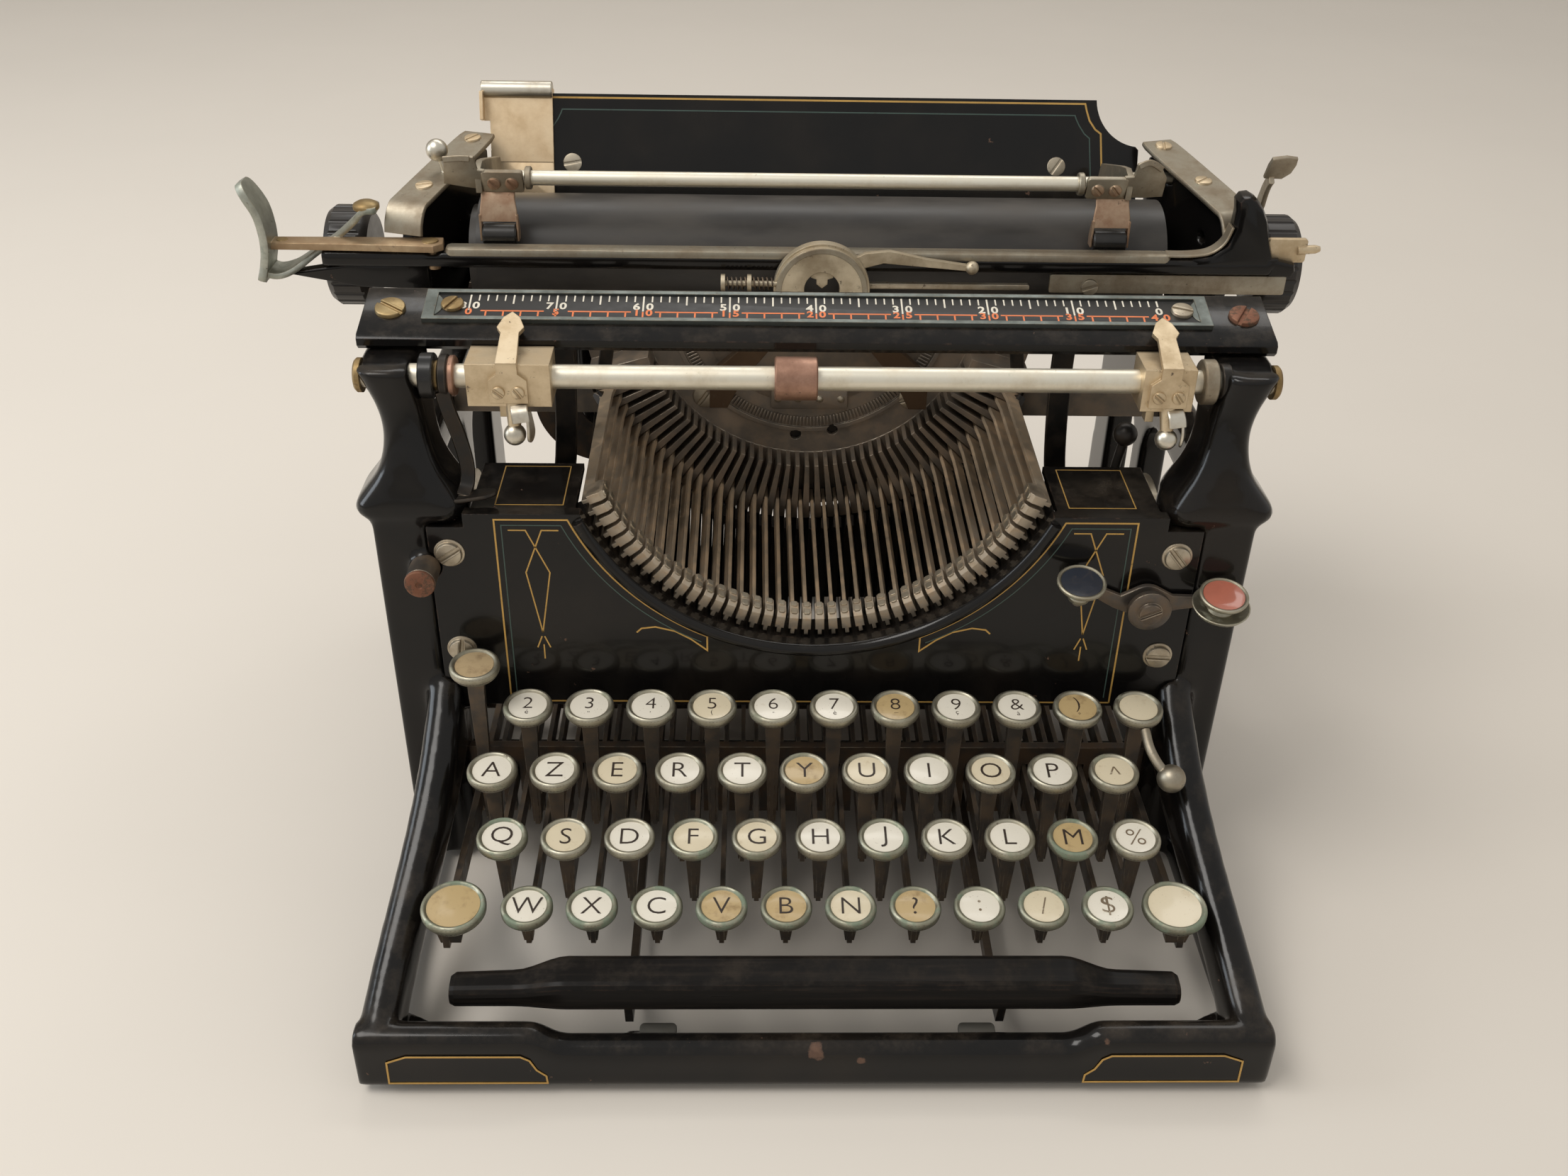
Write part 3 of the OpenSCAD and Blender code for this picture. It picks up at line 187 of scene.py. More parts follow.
class Solid:
    """Gathers the faces of one piece, in machine millimetres."""

    def __init__(self) -> None:
        self.points: list[Vector] = []
        self.faces: list[tuple[int, ...]] = []
        self.skins: list[int] = []
        self.skin = 0

    def add(self, points: Sequence[Vector], faces: Sequence[Sequence[int]]) -> "Solid":
        """Takes in points and the faces between them, in the skin chosen at this moment."""
        start = len(self.points)
        self.points.extend(points)
        self.faces.extend(tuple(start + i for i in face) for face in faces)
        self.skins.extend([self.skin] * len(faces))
        return self

    def loft(self, rings: Sequence[Sequence[Vector]], round_trip: bool = False) -> "Solid":
        """Skins a row of closed rings with equal counts.

        Args:
            rings: the rings in order.
            round_trip: joins the last ring to the first, where the ends are otherwise capped.

        Returns:
            The solid itself.
        """
        n, total = len(rings[0]), len(rings)
        faces: list[tuple[int, ...]] = []
        for i in range(total if round_trip else total - 1):
            j = (i + 1) % total
            faces += [(i * n + k, i * n + (k + 1) % n, j * n + (k + 1) % n, j * n + k) for k in range(n)]
        if not round_trip:
            faces.append(tuple(reversed(range(n))))
            faces.append(tuple(range((total - 1) * n, total * n)))
        return self.add([p for ring in rings for p in ring], faces)

    def revolve(self, seat: Seat, profile: Sequence[Flat], steps: int = 32,
                closed: bool = False) -> "Solid":
        """Turns a profile of (radius, height) pairs about the seat's w axis."""
        turns = [2 * math.pi * k / steps for k in range(steps)]
        rings = [[seat.at(max(r, 0.003) * math.cos(t), max(r, 0.003) * math.sin(t), h) for t in turns]
                 for r, h in profile]
        return self.loft(rings, closed)

    def rod(self, seat: Seat, radius: float, low: float, high: float, steps: int = 24) -> "Solid":
        """A round bar along the seat's w axis."""
        return self.revolve(seat, [(0, low), (radius, low), (radius, high), (0, high)], steps)

    def prism(self, seat: Seat, outline: Sequence[Flat], low: float, high: float,
              ease: float = 0.0) -> "Solid":
        """Raises an outline from one height to another, with an eased upper edge."""
        rings = [[seat.at(a, b, low) for a, b in outline]]
        if ease > 0:
            rings.append([seat.at(a, b, high - ease) for a, b in outline])
            rings.append([seat.at(a, b, high - ease * 0.3) for a, b in inset(outline, ease * 0.3)])
            outline = inset(outline, ease)
        rings.append([seat.at(a, b, high) for a, b in outline])
        return self.loft(rings)

    def block(self, seat: Seat, size: Flat, low: float, high: float, ease: float = 0.2,
              corner: float = 0.6) -> "Solid":
        """A rounded plate with its middle on the seat."""
        a, b, r = size[0] / 2, size[1] / 2, min(corner, size[0] / 2.01, size[1] / 2.01)
        outline: list[Flat] = []
        for i, (sx, sy) in enumerate(((1, 1), (-1, 1), (-1, -1), (1, -1))):
            outline += arc(sx * (a - r), sy * (b - r), r, 90 * i, 90 * i + 90, 4)
        return self.prism(seat, outline, low, high, min(ease, r * 0.8))

    def tube(self, path: Sequence[Vector], radius: Union[float, Sequence[float]],
             sides: int = 14) -> "Solid":
        """Sweeps a round section along a path.

        Args:
            path: the points that the middle follows.
            radius: one radius, or one for each point.
            sides: corners of the section.

        Returns:
            The solid itself.
        """
        radii = [radius] * len(path) if isinstance(radius, (int, float)) else list(radius)
        heading = (path[1] - path[0]).normalized()
        across = heading.cross(UP if abs(heading.z) < 0.9 else BACK).normalized()
        rings: list[list[Vector]] = []
        for i, point in enumerate(path):
            ahead = path[min(i + 1, len(path) - 1)] - path[max(i - 1, 0)]
            turned = ahead.normalized()
            across = (heading.rotation_difference(turned).to_matrix() @ across).normalized()
            heading = turned
            up = across.cross(heading)
            rings.append([point + across * (radii[i] * math.cos(t)) + up * (radii[i] * math.sin(t))
                          for t in (2 * math.pi * k / sides for k in range(sides))])
        return self.loft(rings)

    def strap(self, path: Sequence[Vector], across: Vector, width: Union[float, Sequence[float]],
              thick: float) -> "Solid":
        """Bends a flat strip along a path, with its width along one direction."""
        widths = [width] * len(path) if isinstance(width, (int, float)) else list(width)
        rings: list[list[Vector]] = []
        for i, point in enumerate(path):
            ahead = (path[min(i + 1, len(path) - 1)] - path[max(i - 1, 0)]).normalized()
            side = (across - ahead * across.dot(ahead)).normalized()
            up, half = side.cross(ahead) * (thick / 2), side * (widths[i] / 2)
            lip, shoulder = side * min(0.3, thick * 0.3), up * 0.4
            rings.append([point + half - lip + up, point - half + lip + up,
                          point - half + shoulder, point - half - shoulder,
                          point - half + lip - up, point + half - lip - up,
                          point + half - shoulder, point + half + shoulder])
        return self.loft(rings)

    def ribbon(self, seat: Seat, line: Sequence[Flat], width: float, low: float, high: float,
               closed: bool = False) -> "Solid":
        """Lays a narrow band along a line, with mitred corners."""
        count = len(line)
        rings: list[list[Vector]] = []
        for i, (a, b) in enumerate(line):
            before = line[i - 1] if closed or i else None
            after = line[(i + 1) % count] if closed or i < count - 1 else None
            d1 = Vector((a - before[0], b - before[1])).normalized() if before else None
            d2 = Vector((after[0] - a, after[1] - b)).normalized() if after else None
            d1, d2 = d1 or d2, d2 or d1
            n1, n2 = Vector((-d1.y, d1.x)), Vector((-d2.y, d2.x))
            mid = (n1 + n2).normalized() if (n1 + n2).length > 1e-6 else n1
            reach = width / 2 / max(0.4, mid.dot(n1))
            left, right = (a + mid.x * reach, b + mid.y * reach), (a - mid.x * reach, b - mid.y * reach)
            corners = ((left, low), (right, low), (right, high), (left, high))
            rings.append([seat.at(*edge, height) for edge, height in corners])
        return self.loft(rings, closed)

    def screw(self, seat: Seat, radius: float, turn: float = 20.0, height: float = 1.2) -> "Solid":
        """A slotted screw head with a low dome."""
        half = max(0.3, radius * 0.13)
        edge = math.degrees(math.asin(half / radius))
        for side in (0, 180):
            place = seat.turned(turn + side)
            self.prism(place, arc(0, 0, radius, edge, 180 - edge, 14), 0.0, height, height * 0.42)
        core = radius * 0.985
        return self.revolve(seat, [(0, -0.2), (core, -0.2), (core, height * 0.3), (0, height * 0.36)], 28)

    def ball(self, centre: Vector, radius: float) -> "Solid":
        """A ball, turned from its half circle."""
        return self.revolve(Seat(centre, RIGHT, BACK), arc(0, 0, radius, -90, 90, 12), 24)

    def letters(self, seat: Seat, text: str, height: float, thin: float = 0.0, low: float = 0.0,
                high: float = 0.03) -> "Solid":
        """Writes plain characters flat on a seat, centred on it.

        Args:
            seat: the middle of the writing.
            text: the characters.
            height: height of a capital.
            thin: how far the strokes are drawn in on each side.
            low: underside of the ink above the seat.
            high: top of the ink above the seat.

        Returns:
            The solid itself.
        """
        curve = bpy.data.curves.new("writing", "FONT")
        curve.body, curve.size, curve.offset, curve.resolution_u = text, height / 0.72, -thin, 4
        curve.extrude = 0.5
        holder = bpy.data.objects.new("writing", curve)
        bpy.context.scene.collection.objects.link(holder)
        mesh = bpy.data.meshes.new_from_object(holder.evaluated_get(bpy.context.evaluated_depsgraph_get()))
        xs, ys = [v.co.x for v in mesh.vertices], [v.co.y for v in mesh.vertices]
        if xs:
            mx, my = (min(xs) + max(xs)) / 2, (min(ys) + max(ys)) / 2
            points = [seat.at(v.co.x - mx, v.co.y - my, high if v.co.z > 0 else low) for v in mesh.vertices]
            self.add(points, [tuple(p.vertices) for p in mesh.polygons])
        bpy.data.objects.remove(holder)
        bpy.data.curves.remove(curve)
        bpy.data.meshes.remove(mesh)
        return self

    def piece(self, name: str, body: str, slot: str, *finishes: "Finish") -> bpy.types.Object:
        """Turns the gathered faces into an object that rides on a body.

        Args:
            name: the piece's name.
            body: the body that carries it.
            slot: the record's material slot; not used.
            finishes: one finish for each skin.

        Returns:
            The object.
        """
        mesh = bpy.data.meshes.new(name)
        mesh.from_pydata(packed(self.points), [], self.faces)
        mesh.polygons.foreach_set("material_index", self.skins)
        work = bmesh.new()
        work.from_mesh(mesh)
        bmesh.ops.remove_doubles(work, verts=work.verts, dist=1e-7)
        bmesh.ops.recalc_face_normals(work, faces=work.faces)
        work.to_mesh(mesh)
        work.free()
        for finish in finishes:
            mesh.materials.append(finish.material())
        mesh.shade_smooth()
        mesh.set_sharp_from_angle(angle=math.radians(SHARP))
        made = bpy.data.objects.new(name, mesh)
        return settle(made, body)


def settle(made: bpy.types.Object, body: str) -> bpy.types.Object:
    """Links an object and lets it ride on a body."""
    if not made.users_collection:
        bpy.context.scene.collection.objects.link(made)
    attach(made, body)
    LOG.info("%s rides on %s", made.name, body)
    return made


def softened(node: str, name: str, body: str, finish: "Finish", voxel: float, rounds: int,
             keep: float, without: Sequence[tuple[Vector, Vector]] = ()) -> bpy.types.Object:
    """Makes a cast copy of a CAD node, with its hard edges rounded over.

    Args:
        node: the CAD node that the copy stands for.
        name: the new piece's name.
        body: the body that carries it.
        finish: its finish.
        voxel: grain of the rebuilt surface in millimetres.
        rounds: rounds of smoothing.
        keep: share of the faces that stay.
        without: boxes of machine millimetres that are cut away, for what another piece makes.

    Returns:
        The object.
    """
    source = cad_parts[node]
    made = bpy.data.objects.new(name, source.data.copy())
    bpy.context.scene.collection.objects.link(made)
    made.matrix_world = source.matrix_world.copy()
    cast = made.modifiers.new("cast", "REMESH")
    cast.mode, cast.voxel_size = "VOXEL", voxel * MM
    knives: list[bpy.types.Object] = []
    for low, high in without:
        middle = facing_up((low.x + high.x) / 2, (low.y + high.y) / 2, 0)
        box = Solid().block(middle, (high.x - low.x, high.y - low.y), low.z, high.z)
        mesh = bpy.data.meshes.new("knife")
        mesh.from_pydata(packed(box.points), [], box.faces)
        knives.append(bpy.data.objects.new("knife", mesh))
        bpy.context.scene.collection.objects.link(knives[-1])
        made.modifiers.new("cut", "BOOLEAN").object = knives[-1]
    ease = made.modifiers.new("ease", "SMOOTH")
    ease.factor, ease.iterations = 0.5, rounds
    lean = made.modifiers.new("lean", "DECIMATE")
    lean.ratio = keep
    bpy.context.view_layer.update()
    mesh = bpy.data.meshes.new_from_object(made.evaluated_get(bpy.context.evaluated_depsgraph_get()))
    made.modifiers.clear()
    for knife in knives:
        bpy.data.objects.remove(knife)
    made.data = mesh
    mesh.name = name
    mesh.materials.clear()
    mesh.materials.append(finish.material())
    mesh.polygons.foreach_set("material_index", [0] * len(mesh.polygons))
    mesh.shade_smooth()
    settle(made, body)
    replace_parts(made, node)
    return made


# Finishes


class Pad:
    """Writes the nodes of one finish, with lengths in the object's own metres."""

    def __init__(self, name: str) -> None:
        self.material = bpy.data.materials.new(name)
        self.material.use_nodes = True
        self.tree = self.material.node_tree
        self.tree.nodes.clear()
        self.shader = self.node("ShaderNodeBsdfPrincipled")
        self.node("ShaderNodeOutputMaterial", {0: self.shader.outputs[0]})
        self.coords = self.node("ShaderNodeTexCoord").outputs["Object"]

    def node(self, kind: str, feeds: Optional[Feeds] = None, **settings: object) -> bpy.types.Node:
        """A new node with some of its settings and inputs given.

        Args:
            kind: the node's type.
            feeds: values or sockets for its inputs, by number or name.
            settings: the node's own settings.

        Returns:
            The node.
        """
        made = self.tree.nodes.new(kind)
        for key, value in settings.items():
            setattr(made, key, value)
        for key, value in (feeds or {}).items():
            self.feed(made.inputs[key], value)
        return made

    def feed(self, socket: bpy.types.NodeSocket, value: Union[Value, Tint]) -> None:
        """Links a socket, or sets its own value."""
        if isinstance(value, bpy.types.NodeSocket):
            self.tree.links.new(value, socket)
        else:
            socket.default_value = (*value, 1.0) if socket.type == "RGBA" else value

    def set(self, **values: Union[Value, Tint]) -> None:
        """Feeds the shader's own sockets; a name's underscores stand for spaces."""
        for key, value in values.items():
            self.feed(self.shader.inputs[key.replace("_", " ")], value)

    def noise(self, scale: float, detail: float = 3.0, rough: float = 0.55,
              stretch: Spot = (1.0, 1.0, 1.0), at: float = 0.0) -> Value:
        """A cloudy value around one half, with this many features to the metre."""
        feeds = {0: self.coords, "Scale": stretch, "Location": (at, at * 0.7, at * 1.3)}
        place = self.node("ShaderNodeMapping", feeds).outputs[0]
        feeds = {0: place, "Scale": scale, "Detail": detail, "Roughness": rough}
        return self.node("ShaderNodeTexNoise", feeds).outputs[0]

    def step(self, value: Value, low: float, high: float) -> Value:
        """A soft step from 0 at low to 1 at high."""
        feeds = {0: value, 1: low, 2: high}
        return self.node("ShaderNodeMapRange", feeds, interpolation_type="SMOOTHSTEP").outputs[0]

    def span(self, value: Value, low: float, high: float) -> Value:
        """A value between 0 and 1 spread from low to high."""
        return self.node("ShaderNodeMapRange", {0: value, 3: low, 4: high}).outputs[0]

    def calc(self, how: str, a: Value, b: Value) -> Value:
        """One sum of two values, kept between 0 and 1."""
        return self.node("ShaderNodeMath", {0: a, 1: b}, operation=how, use_clamp=True).outputs[0]

    def times(self, a: Value, b: Value) -> Value:
        """Two values multiplied."""
        return self.calc("MULTIPLY", a, b)

    def blend(self, share: Value, a: Tint, b: Tint) -> bpy.types.NodeSocket:
        """A colour between two others."""
        return self.node("ShaderNodeMix", {0: share, 6: a, 7: b}, data_type="RGBA").outputs[2]

    def place(self, axis: int) -> Value:
        """One coordinate, 0 for X, 1 for Y and 2 for Z, in metres."""
        return self.node("ShaderNodeSeparateXYZ", {0: self.coords}).outputs[axis]

    def near(self, spot: Spot, reach: float) -> Value:
        """1 close to a machine point and 0 from the reach on, both in millimetres, with a ragged edge."""
        feeds = {0: self.coords, 1: packed([Vector(spot)])[0]}
        away = self.node("ShaderNodeVectorMath", feeds, operation="DISTANCE").outputs["Value"]
        feeds = {0: self.noise(260.0, 4.0, 0.65, at=8.0), 1: reach * MM * 1.1, 2: away}
        ragged = self.node("ShaderNodeMath", feeds, operation="MULTIPLY_ADD").outputs[0]
        return self.step(ragged, reach * MM * 1.25, reach * MM * 1.05)

    def normal(self) -> bpy.types.NodeSocket:
        """The face's own direction."""
        return self.node("ShaderNodeNewGeometry").outputs["Normal"]

    def bevelled(self, reach: float) -> bpy.types.NodeSocket:
        """The face's direction with edges eased over a reach in millimetres."""
        return self.node("ShaderNodeBevel", {0: reach * MM}, samples=4).outputs[0]

    def upward(self) -> Value:
        """How far a face looks up, 0 to 1."""
        return self.step(self.node("ShaderNodeSeparateXYZ", {0: self.normal()}).outputs[2], 0.25, 0.95)

    def edges(self, reach: float) -> Value:
        """1 along sharp edges, with a reach in millimetres."""
        feeds = {0: self.bevelled(reach), 1: self.normal()}
        alike = self.node("ShaderNodeVectorMath", feeds, operation="DOT_PRODUCT").outputs["Value"]
        return self.calc("SUBTRACT", 1.0, self.step(alike, 0.86, 0.995))

    def relief(self, height: Value, strength: float, depth: float, rounded: float = 0.0) -> None:
        """Bumps the surface by a height, with a depth in millimetres and eased edges."""
        feeds = {"Strength": strength, "Distance": depth * MM, "Height": height}
        if rounded > 0:
            feeds["Normal"] = self.bevelled(rounded)
        self.set(Normal=self.node("ShaderNodeBump", feeds).outputs[0])


@dataclass(frozen=True)
class Finish:
    """A surface finish; its material is made once and then shared."""

    name: str

    def material(self) -> bpy.types.Material:
        """The finish's material."""
        known = bpy.data.materials.get(self.name)
        if known:
            return known
        pad = Pad(self.name)
        self.paint(pad)
        return pad.material

    def paint(self, pad: Pad) -> None:
        """Writes the finish's nodes."""
        raise NotImplementedError


@dataclass(frozen=True)
class Enamel(Finish):
    """Black stoved enamel over cast iron: glossy, dusty on top, chipped to rusty metal at edges."""

    black: Colour = (0.0050, 0.0045, 0.0042)
    dust: Colour = (0.100, 0.076, 0.054)
    metal: Colour = (0.150, 0.085, 0.055)
    cloudy: Colour = (0.0125, 0.0096, 0.0072)
    rusty: Colour = (0.060, 0.032, 0.022)
    gloss: float = 0.10
    marks: tuple[Row, ...] = ()

    def paint(self, pad: Pad) -> None:
        """Writes the finish's nodes."""
        cloud = pad.noise(26.0, 4.0)
        fine = pad.noise(420.0, 4.0, 0.65)
        chips = pad.step(pad.noise(170.0, 5.0, 0.7, at=3.1), 0.69, 0.72)
        worn = pad.times(pad.edges(0.8), pad.step(pad.noise(240.0, 3.0, 0.6, at=1.7), 0.50, 0.68))
        bare = pad.calc("MAXIMUM", chips, pad.times(worn, 0.6))
        for x, y, z, reach in self.marks:
            bare = pad.calc("MAXIMUM", bare, pad.near((x, y, z), reach))
        dusty = pad.times(pad.upward(), pad.step(pad.noise(70.0, 6.0, 0.7, at=5.0), 0.42, 0.80))
        coat = pad.blend(pad.step(cloud, 0.40, 0.80), self.black, self.cloudy)
        coat = pad.blend(pad.times(dusty, 0.34), coat, self.dust)
        metal = pad.blend(pad.noise(600.0, 3.0), self.metal, self.rusty)
        pad.set(Base_Color=pad.blend(bare, coat, metal))
        rough = pad.calc("ADD", pad.span(fine, self.gloss, self.gloss + 0.13), pad.times(dusty, 0.16))
        pad.set(Roughness=pad.calc("ADD", rough, pad.times(bare, 0.40)))
        pad.set(Coat_Weight=0.14, Coat_Roughness=0.04, Specular_IOR_Level=0.22)
        height = pad.calc("SUBTRACT", pad.times(pad.noise(60.0, 2.0), 0.5), bare)
        pad.relief(height, 0.22, 0.12, 0.5)


@dataclass(frozen=True)
class Plated(Finish):
    """Old bright plating: patchy shine, dull film, dark spots and some green or brown bloom."""

    bright: Colour = (0.54, 0.485, 0.385)
    dull: Colour = (0.32, 0.26, 0.185)
    spot: Colour = (0.085, 0.055, 0.034)
    bloom: Colour = (0.20, 0.23, 0.15)
    rubbed: Colour = (0.42, 0.30, 0.17)
    film: float = 0.5
    spots: float = 0.62
    bloomed: float = 0.66
    rough: float = 0.36
    dark_below: float = 0.0

    def paint(self, pad: Pad) -> None:
        """Writes the finish's nodes."""
        film = pad.step(pad.noise(85.0, 5.0, 0.65), self.film - 0.2, self.film + 0.25)
        spots = pad.step(pad.noise(520.0, 5.0, 0.7, at=2.2), self.spots, self.spots + 0.10)
        bloom = pad.step(pad.noise(130.0, 4.0, 0.6, at=4.4), self.bloomed, self.bloomed + 0.14)
        edge = pad.times(pad.edges(0.5), pad.step(pad.noise(300.0, 2.0, at=7.0), 0.35, 0.65))
        base = pad.blend(film, self.bright, self.dull)
        base = pad.blend(pad.times(bloom, 0.6), base, self.bloom)
        base = pad.blend(pad.times(edge, 0.4), base, self.rubbed)
        if self.dark_below:
            clear = pad.step(pad.place(2), (self.dark_below - 2) * MM, self.dark_below * MM)
            base = pad.blend(clear, self.spot, base)
        pad.set(Base_Color=pad.blend(pad.times(spots, 0.85), base, self.spot))
        tarnish = pad.calc("MAXIMUM", spots, pad.times(bloom, 0.7))
        pad.set(Metallic=pad.calc("SUBTRACT", 1.0, pad.times(tarnish, 0.75)))
        rough = pad.span(film, self.rough, self.rough + 0.22)
        pad.set(Roughness=pad.calc("ADD", rough, pad.times(tarnish, 0.3)))
        height = pad.calc("SUBTRACT", pad.times(pad.noise(900.0, 3.0), 0.25), pad.times(spots, 0.5))
        pad.relief(height, 0.25, 0.06, 0.35)


@dataclass(frozen=True)
class OiledSteel(Finish):
    """Blackened working steel with oil, brown dirt and worn bright places."""

    dark: Colour = (0.060, 0.050, 0.042)
    brown: Colour = (0.115, 0.072, 0.042)
    worn: Colour = (0.34, 0.28, 0.21)
    bright_front: float = 0.0

    def paint(self, pad: Pad) -> None:
        """Writes the finish's nodes."""
        grime = pad.step(pad.noise(120.0, 5.0, 0.65), 0.36, 0.68)
        worn = pad.times(pad.edges(0.4), pad.step(pad.noise(210.0, 3.0, at=2.0), 0.38, 0.60))
        if self.bright_front:
            ahead = pad.step(pad.place(1), self.bright_front * MM + 0.004, self.bright_front * MM)
            patches = pad.step(pad.noise(400.0, 3.0, at=6.0), 0.22, 0.62)
            worn = pad.calc("MAXIMUM", worn, pad.times(ahead, patches))
        base = pad.blend(grime, self.dark, self.brown)
        pad.set(Base_Color=pad.blend(worn, base, self.worn))
        pad.set(Metallic=pad.calc("ADD", 0.55, pad.times(worn, 0.4)))
        pad.set(Roughness=pad.calc("ADD", pad.span(grime, 0.34, 0.58), pad.times(worn, -0.08)))
        pad.relief(pad.noise(700.0, 4.0), 0.22, 0.06, 0.3)


@dataclass(frozen=True)
class Rubber(Finish):
    """Hard dark rubber with a dry grey film, fine turning marks along one axis and steel past its ends."""

    dark: Colour = (0.016, 0.0145, 0.0135)
    film: Colour = (0.050, 0.043, 0.036)
    rough: float = 0.38
    ends: Flat = (0.0, 0.0)
    steel: Colour = (0.36, 0.32, 0.26)
    steel_dull: Colour = (0.20, 0.16, 0.12)

    def paint(self, pad: Pad) -> None:
        """Writes the finish's nodes."""
        film = pad.step(pad.noise(60.0, 5.0, 0.6, (0.35, 1.0, 1.0)), 0.35, 0.75)
        rings = pad.noise(900.0, 2.0, 0.5, (1.0, 0.02, 0.02))
        base = pad.blend(pad.times(film, 0.7), self.dark, self.film)
        if self.ends[1] > self.ends[0]:
            low, high = ((x + SHIFT_X) * MM for x in self.ends)
            left = pad.step(pad.place(0), low + 0.0005, low)
            steel = pad.calc("MAXIMUM", left, pad.step(pad.place(0), high - 0.0005, high))
            base = pad.blend(steel, base, pad.blend(film, self.steel, self.steel_dull))
            pad.set(Metallic=steel)
        pad.set(Base_Color=base)
        pad.set(Roughness=pad.span(film, self.rough, self.rough + 0.22), Specular_IOR_Level=0.4)
        height = pad.calc("ADD", pad.times(rings, 0.5), pad.times(pad.noise(260.0), 0.4))
        pad.relief(height, 0.22, 0.08)


@dataclass(frozen=True)
class LacquerWood(Finish):
    """Black lacquered wood with long grain showing and rubbed edges, and dark steel arms behind it."""

    black: Colour = (0.0070, 0.0062, 0.0056)
    bare: Colour = (0.085, 0.050, 0.030)
    grain: Colour = (0.017, 0.0135, 0.011)
    dust: Colour = (0.085, 0.066, 0.048)
    steel: Colour = (0.05, 0.042, 0.035)
    steel_worn: Colour = (0.11, 0.08, 0.055)
    steel_behind: float = -112.0

    def paint(self, pad: Pad) -> None:
        """Writes the finish's nodes."""
        grain = pad.noise(420.0, 5.0, 0.65, (0.04, 1.0, 1.0))
        rubbed = pad.times(pad.edges(1.1), pad.step(pad.noise(160.0, 3.0, at=3.0), 0.42, 0.62))
        base = pad.blend(pad.step(grain, 0.45, 0.75), self.black, self.grain)
        dusty = pad.times(pad.upward(), pad.step(pad.noise(90.0, 5.0, 0.7, at=2.0), 0.42, 0.75))
        base = pad.blend(pad.times(dusty, 0.22), base, self.dust)
        base = pad.blend(pad.times(rubbed, 0.8), base, self.bare)
        arms = pad.step(pad.place(1), self.steel_behind * MM, (self.steel_behind + 0.5) * MM)
        pad.set(Base_Color=pad.blend(arms, base, pad.blend(grain, self.steel, self.steel_worn)))
        pad.set(Roughness=pad.calc("ADD", pad.span(grain, 0.22, 0.40), pad.times(dusty, 0.22)))
        pad.set(Coat_Weight=0.02, Coat_Roughness=0.12, Specular_IOR_Level=0.08)
        pad.relief(grain, 0.16, 0.08, 0.35)


@dataclass(frozen=True)
class PaperDisc(Finish):
    """A printed paper disc under a thin clear cover, aged in cloudy patches."""

    paper: Colour = (0.74, 0.69, 0.58)
    age: Colour = (0.46, 0.35, 0.20)
    aged: float = 0.55
    speck: Colour = (0.20, 0.13, 0.075)

    def paint(self, pad: Pad) -> None:
        """Writes the finish's nodes."""
        stain = pad.step(pad.noise(210.0, 5.0, 0.65), self.aged, self.aged + 0.28)
        specks = pad.step(pad.noise(1500.0, 3.0, 0.6, at=1.0), 0.66, 0.74)
        base = pad.blend(pad.times(stain, 0.75), self.paper, self.age)
        pad.set(Base_Color=pad.blend(pad.times(specks, 0.55), base, self.speck))
        pad.set(Roughness=pad.span(stain, 0.32, 0.5), Coat_Weight=0.45, Coat_Roughness=0.09, Coat_IOR=1.45)
        pad.relief(pad.noise(650.0, 3.0), 0.08, 0.05)


@dataclass(frozen=True)
class Paint(Finish):
    """A thin line or print of paint, rubbed away in places to what lies under it."""

    tint: Colour = (0.5, 0.4, 0.2)
    under: Colour = (0.03, 0.024, 0.018)
    lost: float = 0.62
    metal: float = 0.0
    rough: float = 0.42
    coat: float = 0.0

    def paint(self, pad: Pad) -> None:
        """Writes the finish's nodes."""
        lost = pad.step(pad.noise(330.0, 5.0, 0.7), self.lost, self.lost + 0.12)
        shade = pad.blend(pad.noise(140.0, 3.0), self.tint, tuple(0.62 * c for c in self.tint))
        pad.set(Base_Color=pad.blend(pad.times(lost, 0.85), shade, self.under))
        pad.set(Roughness=pad.span(pad.noise(500.0), self.rough - 0.08, self.rough + 0.18))
        pad.set(Metallic=self.metal, Coat_Weight=self.coat, Coat_Roughness=0.08)
        pad.relief(lost, 0.15, 0.03)


@dataclass(frozen=True)
class Floor(Finish):
    """A plain pale floor with a faint cloudiness."""

    pale: Colour = (0.66, 0.61, 0.545)

    def paint(self, pad: Pad) -> None:
        """Writes the finish's nodes."""
        cloud = pad.noise(5.0, 3.0)
        pad.set(Base_Color=pad.blend(cloud, self.pale, tuple(0.94 * c for c in self.pale)))
        pad.set(Roughness=pad.span(cloud, 0.75, 0.9), Specular_IOR_Level=0.2)
        pad.relief(pad.noise(900.0, 2.0), 0.05, 0.1)


ENAMEL = Enamel("black_enamel_coat")
CASTING = Enamel("black_enamel_casting", marks=(
    (-0.5, -133.0, 15.5, 4.6), (12.5, -135.5, 13.5, 2.2), (126.0, -108.0, 24.0, 4.0),
    (127.5, -98.0, 28.0, 3.2), (83.0, -134.0, 20.0, 2.2),
    (-121.0, -74.0, 60.0, 2.4), (120.0, -52.0, 70.0, 2.6), (131.5, 40.0, 60.0, 4.5),
    (-131.5, 70.0, 90.0, 5.0), (40.0, 134.0, 20.0, 4.0)))
RIM = Enamel("black_enamel_rim", dust=(0.040, 0.034, 0.028), gloss=0.05)
NICKEL = Plated("aged_nickel_plate")
ROD_NICKEL = Plated("rod_nickel_plate", bright=(0.78, 0.735, 0.62), dull=(0.60, 0.53, 0.41), film=0.6,
                    spots=0.66, rough=0.42)
FRAME_NICKEL = Plated("scale_frame_nickel", bright=(0.205, 0.225, 0.21), dull=(0.125, 0.135, 0.122),
                      film=0.5, rough=0.42)
